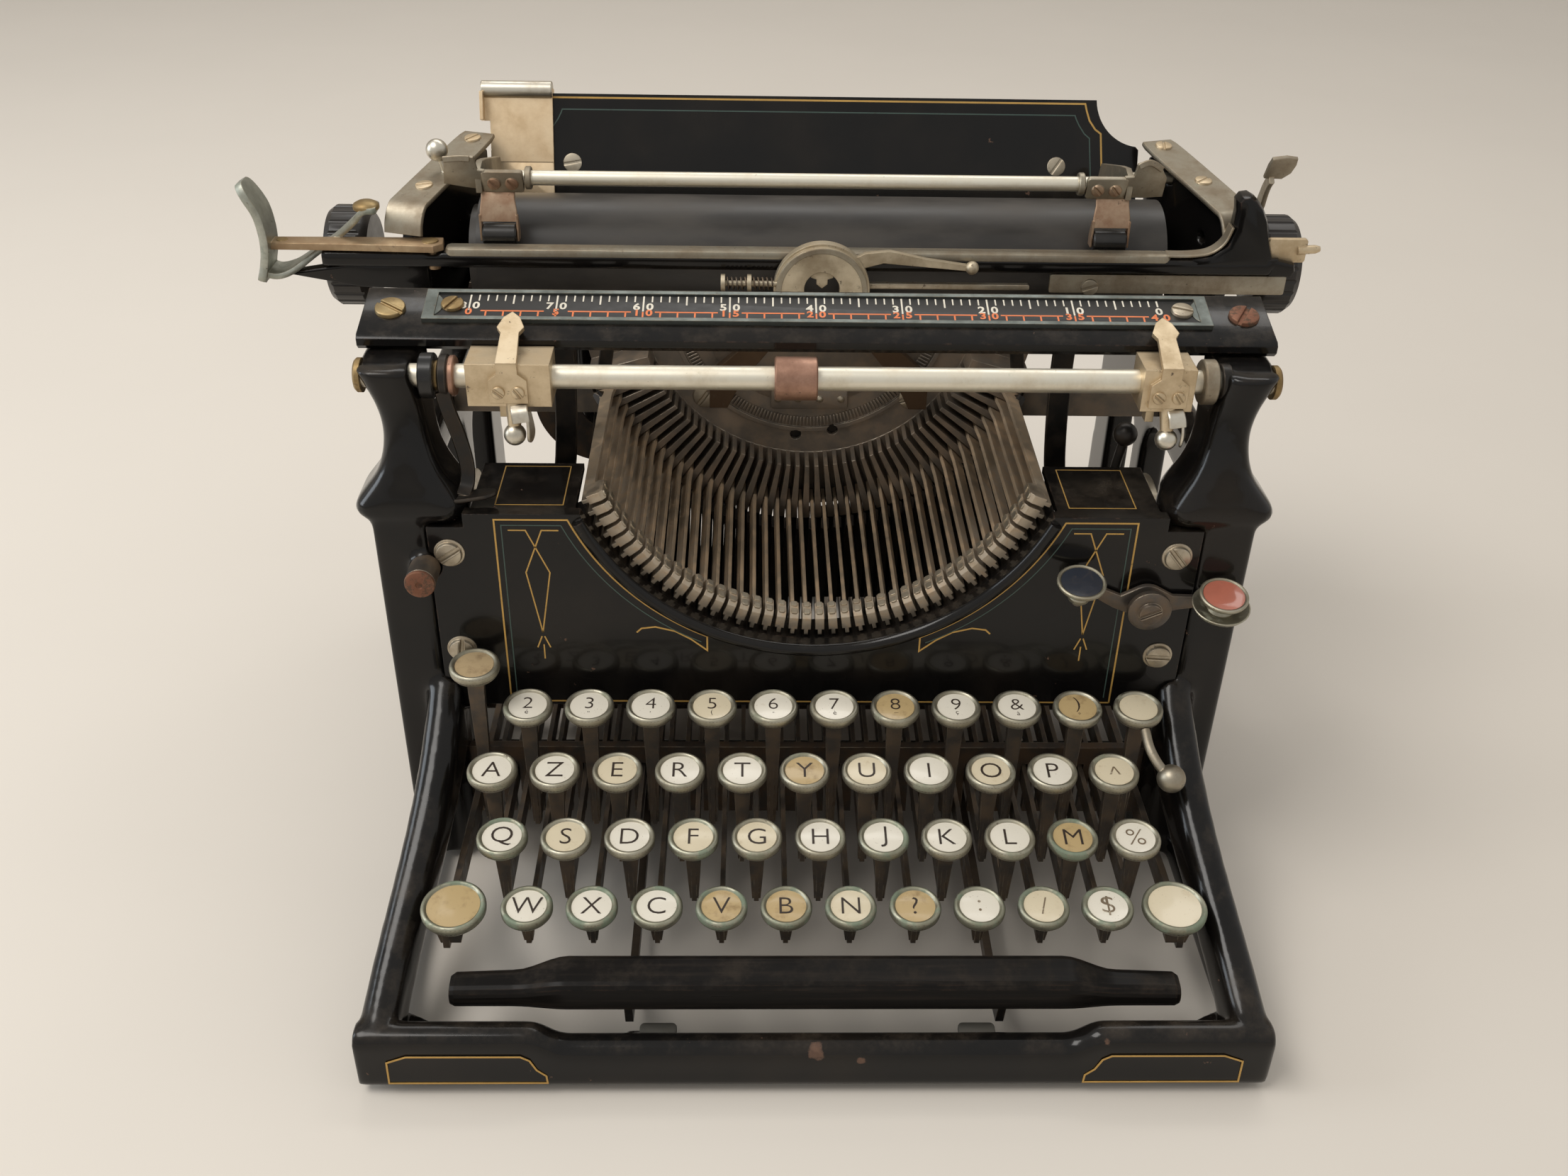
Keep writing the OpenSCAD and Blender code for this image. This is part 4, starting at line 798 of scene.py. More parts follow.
STRIP_NICKEL = Plated("end_strip_nickel", bright=(0.37, 0.335, 0.265), dull=(0.255, 0.205, 0.145), film=0.5,
                      rough=0.42)
GUIDE_NICKEL = Plated("type_guide_nickel", bright=(0.64, 0.565, 0.43), dull=(0.42, 0.345, 0.24), film=0.45,
                      rough=0.40, dark_below=165.0)
PALE_NICKEL = Plated("ball_nickel_plate", bright=(0.66, 0.62, 0.53), film=0.62, spots=0.68, bloomed=0.8,
                     rough=0.32)
BUFF_NICKEL = Plated("stop_nickel_buff", bright=(0.68, 0.56, 0.39), dull=(0.51, 0.395, 0.25), film=0.48,
                     rough=0.40)
TAN_NICKEL = Plated("paper_guide_tan", bright=(0.84, 0.67, 0.455), dull=(0.64, 0.485, 0.305), film=0.5,
                    spots=0.68, rough=0.44)
FINGER = Plated("bail_finger_copper", bright=(0.50, 0.375, 0.265), dull=(0.31, 0.185, 0.118),
                bloom=(0.30, 0.27, 0.21), film=0.46, rough=0.42)
KEY_RING = Plated("key_ring_nickel", bright=(0.44, 0.415, 0.33), dull=(0.29, 0.262, 0.192),
                  bloom=(0.19, 0.21, 0.14), bloomed=0.56, film=0.50, rough=0.40)
GREEN_RING = Plated("key_ring_verdigris", bright=(0.40, 0.39, 0.305), dull=(0.25, 0.245, 0.178),
                    bloom=(0.13, 0.20, 0.135), bloomed=0.48, film=0.48, rough=0.40)
BRASS = Plated("worn_brass_plate", bright=(0.44, 0.335, 0.175), dull=(0.25, 0.17, 0.078),
               bloom=(0.16, 0.13, 0.07), film=0.42, rough=0.34)
COPPER = Plated("copper_collar", bright=(0.48, 0.29, 0.21), dull=(0.27, 0.155, 0.11),
                bloom=(0.20, 0.15, 0.11))
RUST = Plated("rusty_steel_face", bright=(0.36, 0.20, 0.14), dull=(0.24, 0.115, 0.075),
              bloom=(0.17, 0.10, 0.07), film=0.4, spots=0.5, rough=0.5)
GREY_BLADE = Plated("lever_blade_plate", bright=(0.50, 0.51, 0.45), dull=(0.30, 0.305, 0.255),
                    bloom=(0.18, 0.205, 0.155), film=0.45, bloomed=0.55)
TAN_BAR = Plated("lever_bar_tan", bright=(0.50, 0.385, 0.25), dull=(0.34, 0.235, 0.14),
                 bloom=(0.20, 0.15, 0.09), film=0.4, rough=0.42)
STEEL = OiledSteel("oiled_steel_dark")
BLACK_STEEL = OiledSteel("blackened_steel", dark=(0.018, 0.016, 0.014), brown=(0.036, 0.026, 0.018),
                         worn=(0.15, 0.12, 0.09))
# Painted light: the typebars' steel colours are lightened about twice past their own to stand in for light in
# the basket's shaded inside
BARS_PAINTED_LIGHT = OiledSteel("typebar_steel_painted_light", dark=(0.36, 0.28, 0.195), brown=(0.47, 0.335, 0.21),
                  worn=(0.47, 0.40, 0.31), bright_front=-20.0)
# Painted light: the segment's steel colours are lightened well past its own to stand in for light that the
# rail and scale keep off it
SEGMENT_PAINTED_LIGHT = OiledSteel("segment_steel_painted_light", dark=(0.17, 0.145, 0.118), brown=(0.25, 0.19, 0.135),
                     worn=(0.48, 0.415, 0.33))
KEY_STEEL = OiledSteel("key_lever_steel", dark=(0.085, 0.073, 0.062), brown=(0.145, 0.103, 0.068),
                       worn=(0.44, 0.37, 0.28))
WOOD = LacquerWood("lacquered_wood")
PLATEN = Rubber("platen_rubber_dry", dark=(0.030, 0.027, 0.024), film=(0.072, 0.062, 0.051), rough=0.34,
                ends=(-130.5, 138.5))
FOOT = Rubber("foot_rubber_grey", dark=(0.020, 0.019, 0.018))
EBONITE = Rubber("knob_ebonite_dark", dark=(0.013, 0.0115, 0.0105), film=(0.040, 0.032, 0.026), rough=0.24)
SLEEVE = Rubber("roller_rubber_black", dark=(0.010, 0.0095, 0.009), rough=0.26)
GREY_PAD = Rubber("rest_pad_grey", dark=(0.060, 0.057, 0.048), film=(0.115, 0.105, 0.088), rough=0.6)
GOLD = Paint("gold_line", tint=(0.60, 0.355, 0.090), lost=0.63, metal=0.15, rough=0.40)
GREEN = Paint("green_line", tint=(0.050, 0.088, 0.072), lost=0.60)
WHITE = Paint("white_scale_paint", tint=(0.76, 0.70, 0.58), lost=0.68)
RED = Paint("red_scale_paint", tint=(0.80, 0.195, 0.050), lost=0.70)
BLACK_FACE = Paint("scale_black_face", tint=(0.013, 0.012, 0.011), under=(0.06, 0.05, 0.04), lost=0.70,
                   rough=0.34)
INK = Paint("key_ink", tint=(0.040, 0.026, 0.018), under=(0.20, 0.15, 0.10), lost=0.72)
FAINT_INK = Paint("key_ink_faint", tint=(0.20, 0.145, 0.09), under=(0.50, 0.43, 0.32), lost=0.54)
BLUE_DISC = Paint("selector_blue", tint=(0.026, 0.031, 0.044), under=(0.07, 0.058, 0.050), lost=0.62,
                  rough=0.30, coat=0.8)
RED_DISC = Paint("selector_red", tint=(0.48, 0.150, 0.095), under=(0.24, 0.11, 0.07), lost=0.62, rough=0.34,
                 coat=0.8)


class Paper(Enum):
    """How far a key's paper disc has aged."""

    WHITE = PaperDisc("paper_white", (0.72, 0.67, 0.565), (0.47, 0.37, 0.235), 0.62)
    CREAM = PaperDisc("paper_cream", (0.64, 0.555, 0.395), (0.40, 0.29, 0.155), 0.56)
    AMBER = PaperDisc("paper_amber", (0.46, 0.335, 0.165), (0.23, 0.145, 0.060), 0.50)
    TAN = PaperDisc("paper_tan", (0.42, 0.31, 0.175), (0.20, 0.13, 0.065), 0.48)


# Stage


@dataclass
class StageSet:
    """Floor, soft studio light and the camera at the photograph's angle."""

    camera_at: Spot = (-20.10, -421.6, 360.9)
    pitch: float = 33.0
    yaw: float = -1.57
    roll: float = -1.16
    lens: float = 34.44
    floor_half: float = 4.0
    floor_back: float = 2.2
    floor_rise: float = 1.4
    wall: float = 4.0

    def build(self) -> None:
        """Makes the whole stage."""
        bpy.context.scene.view_settings.view_transform = "Standard"
        self.floor()
        self.lights()
        self.camera()

    def floor(self) -> None:
        """One sheet that runs back and rises in a wide curve."""
        half, back, rise = self.floor_half, self.floor_back, self.floor_rise
        turns = [math.radians(a) for a in range(10, 91, 10)]
        bend = [(back + rise * math.sin(t), rise - rise * math.cos(t)) for t in turns]
        line = [(-half, 0.0), (back, 0.0), *bend, (back + rise, self.wall)]
        points = [(x, y, z) for y, z in line for x in (-half * 1.5, half * 1.5)]
        faces = [(2 * i, 2 * i + 1, 2 * i + 3, 2 * i + 2) for i in range(len(line) - 1)]
        mesh = bpy.data.meshes.new("floor")
        mesh.from_pydata(points, [], faces)
        mesh.materials.append(Floor("pale_floor").material())
        mesh.shade_smooth()
        sheet = bpy.data.objects.new("floor", mesh)
        bpy.context.scene.collection.objects.link(sheet)

    def lights(self) -> None:
        """An even pale surround, with soft lamps above on the left, behind and at the left side."""
        world = bpy.data.worlds.new("surround")
        world.use_nodes = True
        world.node_tree.nodes["Background"].inputs[0].default_value = (1.0, 0.985, 0.955, 1.0)
        world.node_tree.nodes["Background"].inputs[1].default_value = 0.62
        bpy.context.scene.world = world
        for name, at, look, size, power, tint in (
                ("key_lamp", (-0.75, -0.35, 1.45), (0.0, 0.0, 0.1), (0.9, 0.6), 13.5, (1.0, 0.97, 0.93)),
                ("top_lamp", (0.15, 0.75, 1.30), (0.0, 0.0, 0.12), (1.3, 0.35), 4.5, (1.0, 0.98, 0.95)),
                ("window_lamp", (-1.4, -0.05, 0.55), (0.0, 0.0, 0.1), (0.5, 0.7), 6.0, (0.84, 0.92, 1.0))):
            data = bpy.data.lights.new(name, "AREA")
            data.shape, data.size, data.size_y, data.energy, data.color = "RECTANGLE", *size, power, tint
            lamp = bpy.data.objects.new(name, data)
            lamp.location = at
            lamp.rotation_euler = (Vector(look) - Vector(at)).to_track_quat("-Z", "Y").to_euler()
            bpy.context.scene.collection.objects.link(lamp)

    def camera(self) -> None:
        """The camera, for a frame of 2212 by 1659."""
        data = bpy.data.cameras.new("camera")
        data.lens, data.sensor_width, data.clip_start = self.lens, 36.0, 0.02
        nod = Matrix.Rotation(math.radians(-self.pitch), 3, "X")
        turn = Matrix.Rotation(math.radians(self.yaw), 3, "Z") @ nod
        right, ahead, down = turn @ RIGHT, turn @ BACK, turn @ -UP
        c, s = math.cos(math.radians(self.roll)), math.sin(math.radians(self.roll))
        across, below = right * c + down * s, down * c - right * s
        made = bpy.data.objects.new("camera", data)
        axes = Matrix((across, -below, -ahead)).transposed().to_4x4()
        place = Vector(self.camera_at) + Vector((SHIFT_X, 0, 0))
        made.matrix_world = Matrix.Translation(place * MM) @ axes
        bpy.context.scene.collection.objects.link(made)
        bpy.context.scene.camera = made


# CAD nodes


@dataclass
class CadCoat:
    """Gives every CAD node its finish and even shading.

    Letter keys that aren't named here are steel, and all other nodes that aren't are enamelled.
    """

    crease: float = 32.0
    bar_crease: float = 9.0
    weld: float = 2e-6
    finishes: dict[str, Finish] = field(default_factory=lambda: {
        "rubber_feet": FOOT, "type_segment": SEGMENT_PAINTED_LIGHT, "typebars": BARS_PAINTED_LIGHT, "typebar_y": BARS_PAINTED_LIGHT,
        "margin_scale": FRAME_NICKEL, "type_guide": GUIDE_NICKEL, "guide_springs": STEEL,
        "lever_comb": STEEL, "figure_keys": KEY_STEEL, "sign_keys": KEY_STEEL, "ribbon_spools": NICKEL,
        "carriage_rail": STEEL, "platen": PLATEN, "platen_knobs": EBONITE, "paper_guide": TAN_NICKEL,
        "margin_stop_left": BUFF_NICKEL, "margin_stop_right": BUFF_NICKEL, "space_bar": WOOD,
        "shift_keys": KEY_STEEL, "backspace_key": KEY_STEEL, "tab_key": KEY_STEEL,
        "mainspring_drum": STEEL})

    def build(self) -> None:
        """Dresses the nodes one by one."""
        shading = self.even_shading("even_shading", self.crease)
        crisp = self.even_shading("crisp_shading", self.bar_crease)
        for name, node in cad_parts.items():
            finish = self.finishes.get(name, KEY_STEEL if name.startswith("key_") else ENAMEL)
            for slot in node.material_slots:
                slot.material = finish.material()
            node.modifiers.new("even", "NODES").node_group = crisp if name == "space_bar" else shading
            LOG.info("%s wears %s", name, finish.name)

    def even_shading(self, name: str, crease: float) -> bpy.types.NodeTree:
        """A modifier group that joins split edges and shades smooth below the crease angle."""
        tree = bpy.data.node_groups.new(name, "GeometryNodeTree")
        for way in ("INPUT", "OUTPUT"):
            tree.interface.new_socket("Geometry", in_out=way, socket_type="NodeSocketGeometry")
        start, end = tree.nodes.new("NodeGroupInput"), tree.nodes.new("NodeGroupOutput")
        drop = tree.nodes.new("GeometryNodeRemoveAttribute")
        drop.inputs["Name"].default_value = "custom_normal"
        weld = tree.nodes.new("GeometryNodeMergeByDistance")
        weld.inputs["Distance"].default_value = self.weld
        smooth = tree.nodes.new("GeometryNodeSetShadeSmooth")
        sharp = tree.nodes.new("GeometryNodeSetShadeSmooth")
        sharp.domain = "EDGE"
        sharp.inputs["Shade Smooth"].default_value = False
        angle = tree.nodes.new("GeometryNodeInputMeshEdgeAngle")
        over = tree.nodes.new("FunctionNodeCompare")
        over.operation = "GREATER_THAN"
        over.inputs[1].default_value = math.radians(crease)
        for a, b in ((start, drop.inputs[0]), (drop, weld.inputs["Geometry"]),
                     (weld, smooth.inputs["Geometry"]), (smooth, sharp.inputs["Geometry"]),
                     (angle, over.inputs[0]), (over, sharp.inputs["Selection"]), (sharp, end.inputs[0])):
            tree.links.new(a.outputs[0], b)
        return tree


# Base


@dataclass
class BaseCasting:
    """The cast base: its rounded body, lined bar ends, side lines, stud and rest pads."""

    front_y: float = -136.0
    side_x: float = 132.0
    line: float = 0.52
    bar_proud: float = 0.07
    bar_frame: Line = (
        (117.0, 16.0), (84.5, 16.0), (82.0, 14.4), (80.2, 10.4), (77.6, 7.9), (77.4, 4.9), (122.8, 4.9),
        (122.6, 13.6))
    side_frame: Line = ((-28, 28), (122, 28), (122, 120), (110, 132), (-14, 132), (-28, 118))
    stud_at: Spot = (-117.4, -48.0, 119.0)
    stud_face: Line = (
        (0, -0.4), (4.45, -0.4), (4.6, 0.1), (4.35, 0.75), (3.2, 1.15), (1.2, 1.2), (0.9, 0.8), (0, 0.75))
    stud_sleeve: Line = ((4.26, -9.6), (4.5, -9.3), (4.5, -0.6), (4.26, -0.4))
    pads_at: Track = ((-46.0, -125.6, 14.0), (47.0, -125.6, 14.0))
    pad_size: Flat = (10.8, 6.0)

    def build(self) -> None:
        """Makes the casting and its trim."""
        softened("base_frame", "base_casting", "frame", CASTING, voxel=1.1, rounds=11,
                 keep=0.45)
        self.bar_lines()
        self.side_lines()
        self.stud()
        self.rest_pads()

    def bar_lines(self) -> None:
        """Gold frames on the raised ends of the front bar."""
        lines = Solid()
        face = facing_front(0, self.front_y, 0)
        for side in (-1, 1):
            lines.ribbon(face, mirrored(self.bar_frame, side), self.line, SUNK, self.bar_proud, True)
        lines.piece("bar_end_lines", "frame", "worn_brass", GOLD)

    def side_lines(self) -> None:
        """A gold line along each side wall."""
        lines = Solid()
        for side in (-1, 1):
            wall = facing_side(side * self.side_x, 0, 0, side)
            lines.ribbon(wall, mirrored(self.side_frame, side), self.line, SUNK, PROUD, True)
        lines.piece("side_wall_lines", "frame", "worn_brass", GOLD)

    def stud(self) -> None:
        """The round rusty head and dark sleeve of the left post's stud."""
        head = Solid()
        seat = facing_front(*self.stud_at)
        head.revolve(seat, self.stud_face, 32)
        head.skin = 1
        head.revolve(seat, self.stud_sleeve, 32, True)
        head.piece("post_stud_head", "frame", "oiled_steel", RUST, KEY_STEEL)

    def rest_pads(self) -> None:
        """Grey pads on the two tabs behind the front bar."""
        pads = Solid()
        for place in self.pads_at:
            pads.block(facing_up(*place), self.pad_size, -0.4, 1.2, ease=0.6, corner=1.4)
        pads.piece("bar_rest_pads", "frame", "foot_rubber", GREY_PAD)


# Front plate and scale


@dataclass(frozen=True)
class PlateLine:
    """A painted line on the right half of the front plate: up the side, along the top and round the scoop."""

    radius: float
    width: float
    top: float
    x_in: float
    x_out: float
    low: float
    tail: Line = ()
    steps: int = 24

    def path(self, scoop_z: float) -> list[Flat]:
        """The line's points, for a scoop with its centre at a height."""
        r = self.radius
        x_top = math.sqrt(r * r - (scoop_z - self.top) ** 2)
        across = [x_top + (self.x_in - x_top) * i / self.steps for i in range(self.steps + 1)]
        bend = [(x, scoop_z - math.sqrt(r * r - x * x)) for x in across]
        return [(self.x_out, self.low), (self.x_out, self.top), *bend, *self.tail]


@dataclass
class FrontPlate:
    """The front plate: gold and green lines, line ornaments, ledge frames, screws and the scoop's rim."""

    face_y: float = -38.0
    scoop_z: float = 167.0
    ledge_z: float = 137.0
    gold_line: PlateLine = PlateLine(80.6, 0.52, 135.2, 33.2, 95.8, 68.3, tail=(
        (33.2, 88.3), (38.2, 92.5), (43.1, 95.5), (49.2, 97.1), (53.5, 96.5), (55.0, 95.0)))
    green_line: PlateLine = PlateLine(83.2, 0.34, 133.3, 35.0, 93.8, 70.3)
    foot_width: float = 0.5
    stroke_width: float = 0.42
    strokes: tuple[Line, ...] = (
        ((91.9, 131.6), (86.7, 131.6), (80.4, 116.8), (84.0, 94.9)),
        ((76.9, 131.6), (82.0, 131.6), (87.6, 116.8), (84.0, 94.9)), ((84.4, 93.4), (86.0, 89.2)),
        ((83.6, 93.4), (82.0, 89.2)), ((84.0, 90.3), (84.0, 84.9)))
    ledge_width: float = 0.34
    ledge: Line = ((96, -8.2), (75.8, -8.2), (75.8, -32.2), (96, -32.2))
    screws: Line = ((-109.9, 123.7), (-109.5, 88.7), (109.1, 123.8), (108.7, 87.2))
    washer: Line = ((0, -0.3), (4.7, -0.3), (4.6, 0.35), (4.1, 0.5), (0, 0.5))
    rim_r: float = 78.0
    rim_span: Flat = (204.4, 335.6)
    rim_thick: float = 2.0

    def build(self) -> None:
        """Makes the lines, the screws and the rim."""
        face = facing_front(0, self.face_y, 0)
        self.lines(face)
        heads = Solid()
        for i, (x, z) in enumerate(self.screws):
            heads.revolve(face.moved(x, z), self.washer, 32)
            heads.screw(face.moved(x, z, 0.45), 3.9, 35 + 47 * i, 1.5)
        heads.piece("plate_screws", "frame", "aged_nickel", NICKEL)
        bend = arc(0, self.scoop_z, self.rim_r, *self.rim_span, 60)
        path = [Vector((x, self.face_y - 0.4, z)) for x, z in bend]
        Solid().tube(path, self.rim_thick, 20).piece("scoop_rim", "frame", "black_enamel", RIM)

    def lines(self, face: Seat) -> None:
        """Gold and green lines on the plate's face and the gold frames on its ledges."""
        gold, green = Solid(), Solid()
        for side in (-1, 1):
            for lines, kind in ((gold, self.gold_line), (green, self.green_line)):
                lines.ribbon(face, mirrored(kind.path(self.scoop_z), side), kind.width, SUNK, PROUD)
            for stroke in self.strokes:
                gold.ribbon(face, mirrored(stroke, side), self.stroke_width, SUNK, PROUD)
            ledge = facing_up(0, 0, self.ledge_z)
            gold.ribbon(ledge, mirrored(self.ledge, side), self.ledge_width, SUNK, PROUD, True)
        x, z = self.gold_line.x_out, self.gold_line.low
        gold.ribbon(face, [(-x, z), (x, z)], self.foot_width, SUNK, PROUD)
        gold.piece("plate_gold_lines", "frame", "worn_brass", GOLD)
        green.piece("plate_green_lines", "frame", "worn_brass", GREEN)


@dataclass
class ScaleDress:
    """The scale's black face with its ticks, numbers, screws and end cheeks."""

    slope: float = 14.42
    unit: float = 2.55
    middle: float = -0.85
    spaces: int = 80
    floor: float = 0.8
    half: float = 112.3
    deep: float = 14.3
    back_edge: Spot = (0, 4.0, 190.0)
    frame_w: float = 1.8
    film: float = 0.25
    ink: Flat = (-0.03, 0.05)
    tick_top: float = 12.2
    red_z: float = 4.6
    red_gap: float = 3.5

    def seat(self) -> Seat:
        """The lower edge of the scale, with w off its face."""
        s = math.radians(self.slope)
        v = Vector((0, math.cos(s), math.sin(s)))
        return Seat(Vector(self.back_edge) - v * (self.deep + self.frame_w), RIGHT, v)

    def tick(self, i: int) -> float:
        """Place of one space on the scale."""
        return self.middle + (self.spaces // 2 - i) * self.unit

    def build(self) -> None:
        """Makes the face, the print, the screws and the cheeks."""
        seat, top = self.seat(), self.floor + self.film
        face = Solid()
        size = (2 * self.half, self.deep - 3.2)
        face.block(seat.moved(0, self.deep / 2), size, self.floor - 0.05, top, 0.05, 0.3)
        face.piece("scale_face", "frame", "black_enamel", BLACK_FACE)
        self.writing(seat, top + self.ink[0], top + self.ink[1])
        self.screws(seat, top)
        ends = Solid()
        for side in (-1, 1):
            curve = arc(116.85, self.deep / 2, 6.45, 122.3, 237.7, 14)
            cheek = mirrored([(113.4, 12.6), *curve, (113.4, 1.7)], side)
            ends.prism(seat, cheek if side > 0 else cheek[::-1], self.floor, 1.3, 0.1)
        ends.piece("scale_end_cheeks", "frame", "aged_nickel", FRAME_NICKEL)

    def writing(self, seat: Seat, low: float, high: float) -> None:
        """White and red ticks and numbers, between two heights above the seat."""
        white, red = Solid(), Solid()
        for i in range(self.spaces + 1):
            x, fifth = self.tick(i), i % 5 == 0
            foot = 4.9 if i % 10 == 0 and i else 8.0 if fifth and i else 9.4
            white.ribbon(seat, [(x, foot), (x, self.tick_top)], 0.5 if fifth else 0.42, low, high)
            if i % 2 == 0 and i % self.spaces:
                red.ribbon(seat, [(x, self.red_z), (x, 2.0)], 0.5, low, high)
        for i in range(0, self.spaces, 10):
            ends = self.tick(i + 10) + self.red_gap, self.tick(i) - self.red_gap
            red.ribbon(seat, [(x, self.red_z) for x in ends], 0.55, low, high)
        for i in range(0, self.spaces + 1, 10):
            rows = ((white, str(i), 7.2, 3.1), (red, str((self.spaces - i) // 2), 4.3, 2.9))
            for lines, text, b, h in rows:
                for k, digit in enumerate(text):
                    shift = (k - (len(text) - 1) / 2) * h * 1.25
                    lines.letters(seat.moved(self.tick(i) + shift, b), digit, h, -0.12, low, high)
        white.piece("scale_white_print", "frame", "black_enamel", WHITE)
        red.piece("scale_red_print", "frame", "black_enamel", RED)

    def screws(self, seat: Seat, top: float) -> None:
        """Two screws in the scale's face and two in the rail beside it."""
        heads = Solid()
        for x, skin, turn in ((-107.8, 1, 60), (108.0, 0, -20)):
            heads.skin = skin
            heads.screw(seat.moved(x, self.deep / 2, top), 3.3, turn, 1.2)
        for x, skin, turn in ((-126.0, 1, -35), (126.5, 2, 60)):
            heads.skin = skin
            heads.screw(seat.moved(x, self.deep / 2 - 1.0, -0.1), 4.5, turn, 1.5)
        heads.piece("scale_screws", "frame", "worn_brass", NICKEL, BRASS, RUST)


# Keys


@dataclass
class Keyboard:
    """Key tops: rolled rings, domed paper discs and plain printed characters."""

    pitch: float = 19.05
    tilt: float = 5.0
    key_d: float = 15.2
    shift_d: float = 19.0
    shift_x: float = 106.4
    first_row: Flat = (-50.0, 76.0)
    row_step: Flat = (17.44, 11.26)
    starts: Row = (-88.7, -98.2, -93.7, -85.0)
    rows: tuple[str, ...] = ("23456789&)", "AZERTYUIOP^", "QSDFGHJKLM%", "WXCVBN?:/$")
    small: str = "é\"'(-è_çà°"
    white: str = "234679&AZRTIPQDHJKLXCW$%:"
    cream: str = "5EUOSGFN/^"
    faint: str = "^%/$:"
    ring: Line = (
        (-2.6, -4.72), (-0.7, -3.5), (-0.05, -2.5), (0.08, -1.6), (0.06, -0.7), (-0.16, -0.12),
        (-0.55, 0.20), (-0.95, 0.22), (-1.25, 0.05), (-1.55, -0.35), (-1.75, -0.62))
    rim: float = 1.7
    dome: float = 0.26
    dome_steps: int = 8

    def seat(self, x: float, y: float, z: float) -> Seat:
        """The middle of a key's top."""
        return facing_up(x, y, z).tipped(self.tilt)

    def row_at(self, row: int) -> Flat:
        """Y and Z of one row's key tops."""
        return self.first_row[0] - self.row_step[0] * row, self.first_row[1] - self.row_step[1] * row

    def paper(self, mark: str) -> Paper:
        """The paper that one key has."""
        return Paper.WHITE if mark in self.white else Paper.CREAM if mark in self.cream else Paper.AMBER

    def top(self, name: str, body: str, seat: Seat, d: float, paper: Paper, green: bool, mark: str = "",
            under: str = "") -> None:
        """One key top.

        Args:
            name: the piece's name.
            body: the body that carries it.
            seat: the middle of the key's top.
            d: outer diameter of the ring.
            paper: how the disc has aged.
            green: rings with more verdigris.
            mark: the character, or an empty text for a bare disc.
            under: a small sign under it.
        """
        r, inner = d / 2, d / 2 - self.rim
        key = Solid()
        key.revolve(seat, [(0, -4.75), *((r + a, h) for a, h in self.ring), (0, -0.62)], 48)
        key.skin = 1
        shares = [1 - i / self.dome_steps for i in range(1, self.dome_steps + 1)]
        dome = [(inner * s, -0.40 + self.dome * (1 - s ** 2)) for s in shares]
        key.revolve(seat, [(0, -0.60), (inner, -0.60), (inner, -0.40), *dome], 40)
        key.skin = 2
        if mark:
            key.letters(seat.moved(0, 0.9 if under else 0.0), mark, 5.3 if under else 6.5, 0.10, -0.42,
                        -0.09)
        if under:
            key.letters(seat.moved(0, -3.1), under, 1.9, 0.03, -0.42, -0.15)
        ink = FAINT_INK if mark and mark in self.faint else INK
        key.piece(name, body, "key_nickel", GREEN_RING if green else KEY_RING, paper.value, ink)

    def build(self) -> None:
        """Makes all the key tops."""
        for row, marks in enumerate(self.rows):
            for col, mark in enumerate(marks):
                low = mark.lower()
                body = f"key_{low}" if low in ascii_lowercase else "frame"
                seat = self.seat(self.starts[row] + col * self.pitch, *self.row_at(row))
                green = row == 3 or (row == 2 and col % 3 == 0)
                under = self.small[col] if row == 0 else ""
                self.top(f"key_top_{row}_{col}", body, seat, self.key_d, self.paper(mark), green, mark,
                         under)
        for side, name, paper in ((-1, "left", Paper.AMBER), (1, "right", Paper.CREAM)):
            seat = self.seat(side * self.shift_x, *self.row_at(3))
            self.top(f"key_top_shift_{name}", "shift_keys", seat, self.shift_d, paper, True)
        self.top("key_top_tab", "tab_key", self.seat(101.9, -50.0, 76.0), self.key_d, Paper.CREAM, False)
        self.top("key_top_back", "backspace_key", self.seat(-104.2, -48.0, 90.0), self.key_d, Paper.TAN,
                 False)


# Type basket


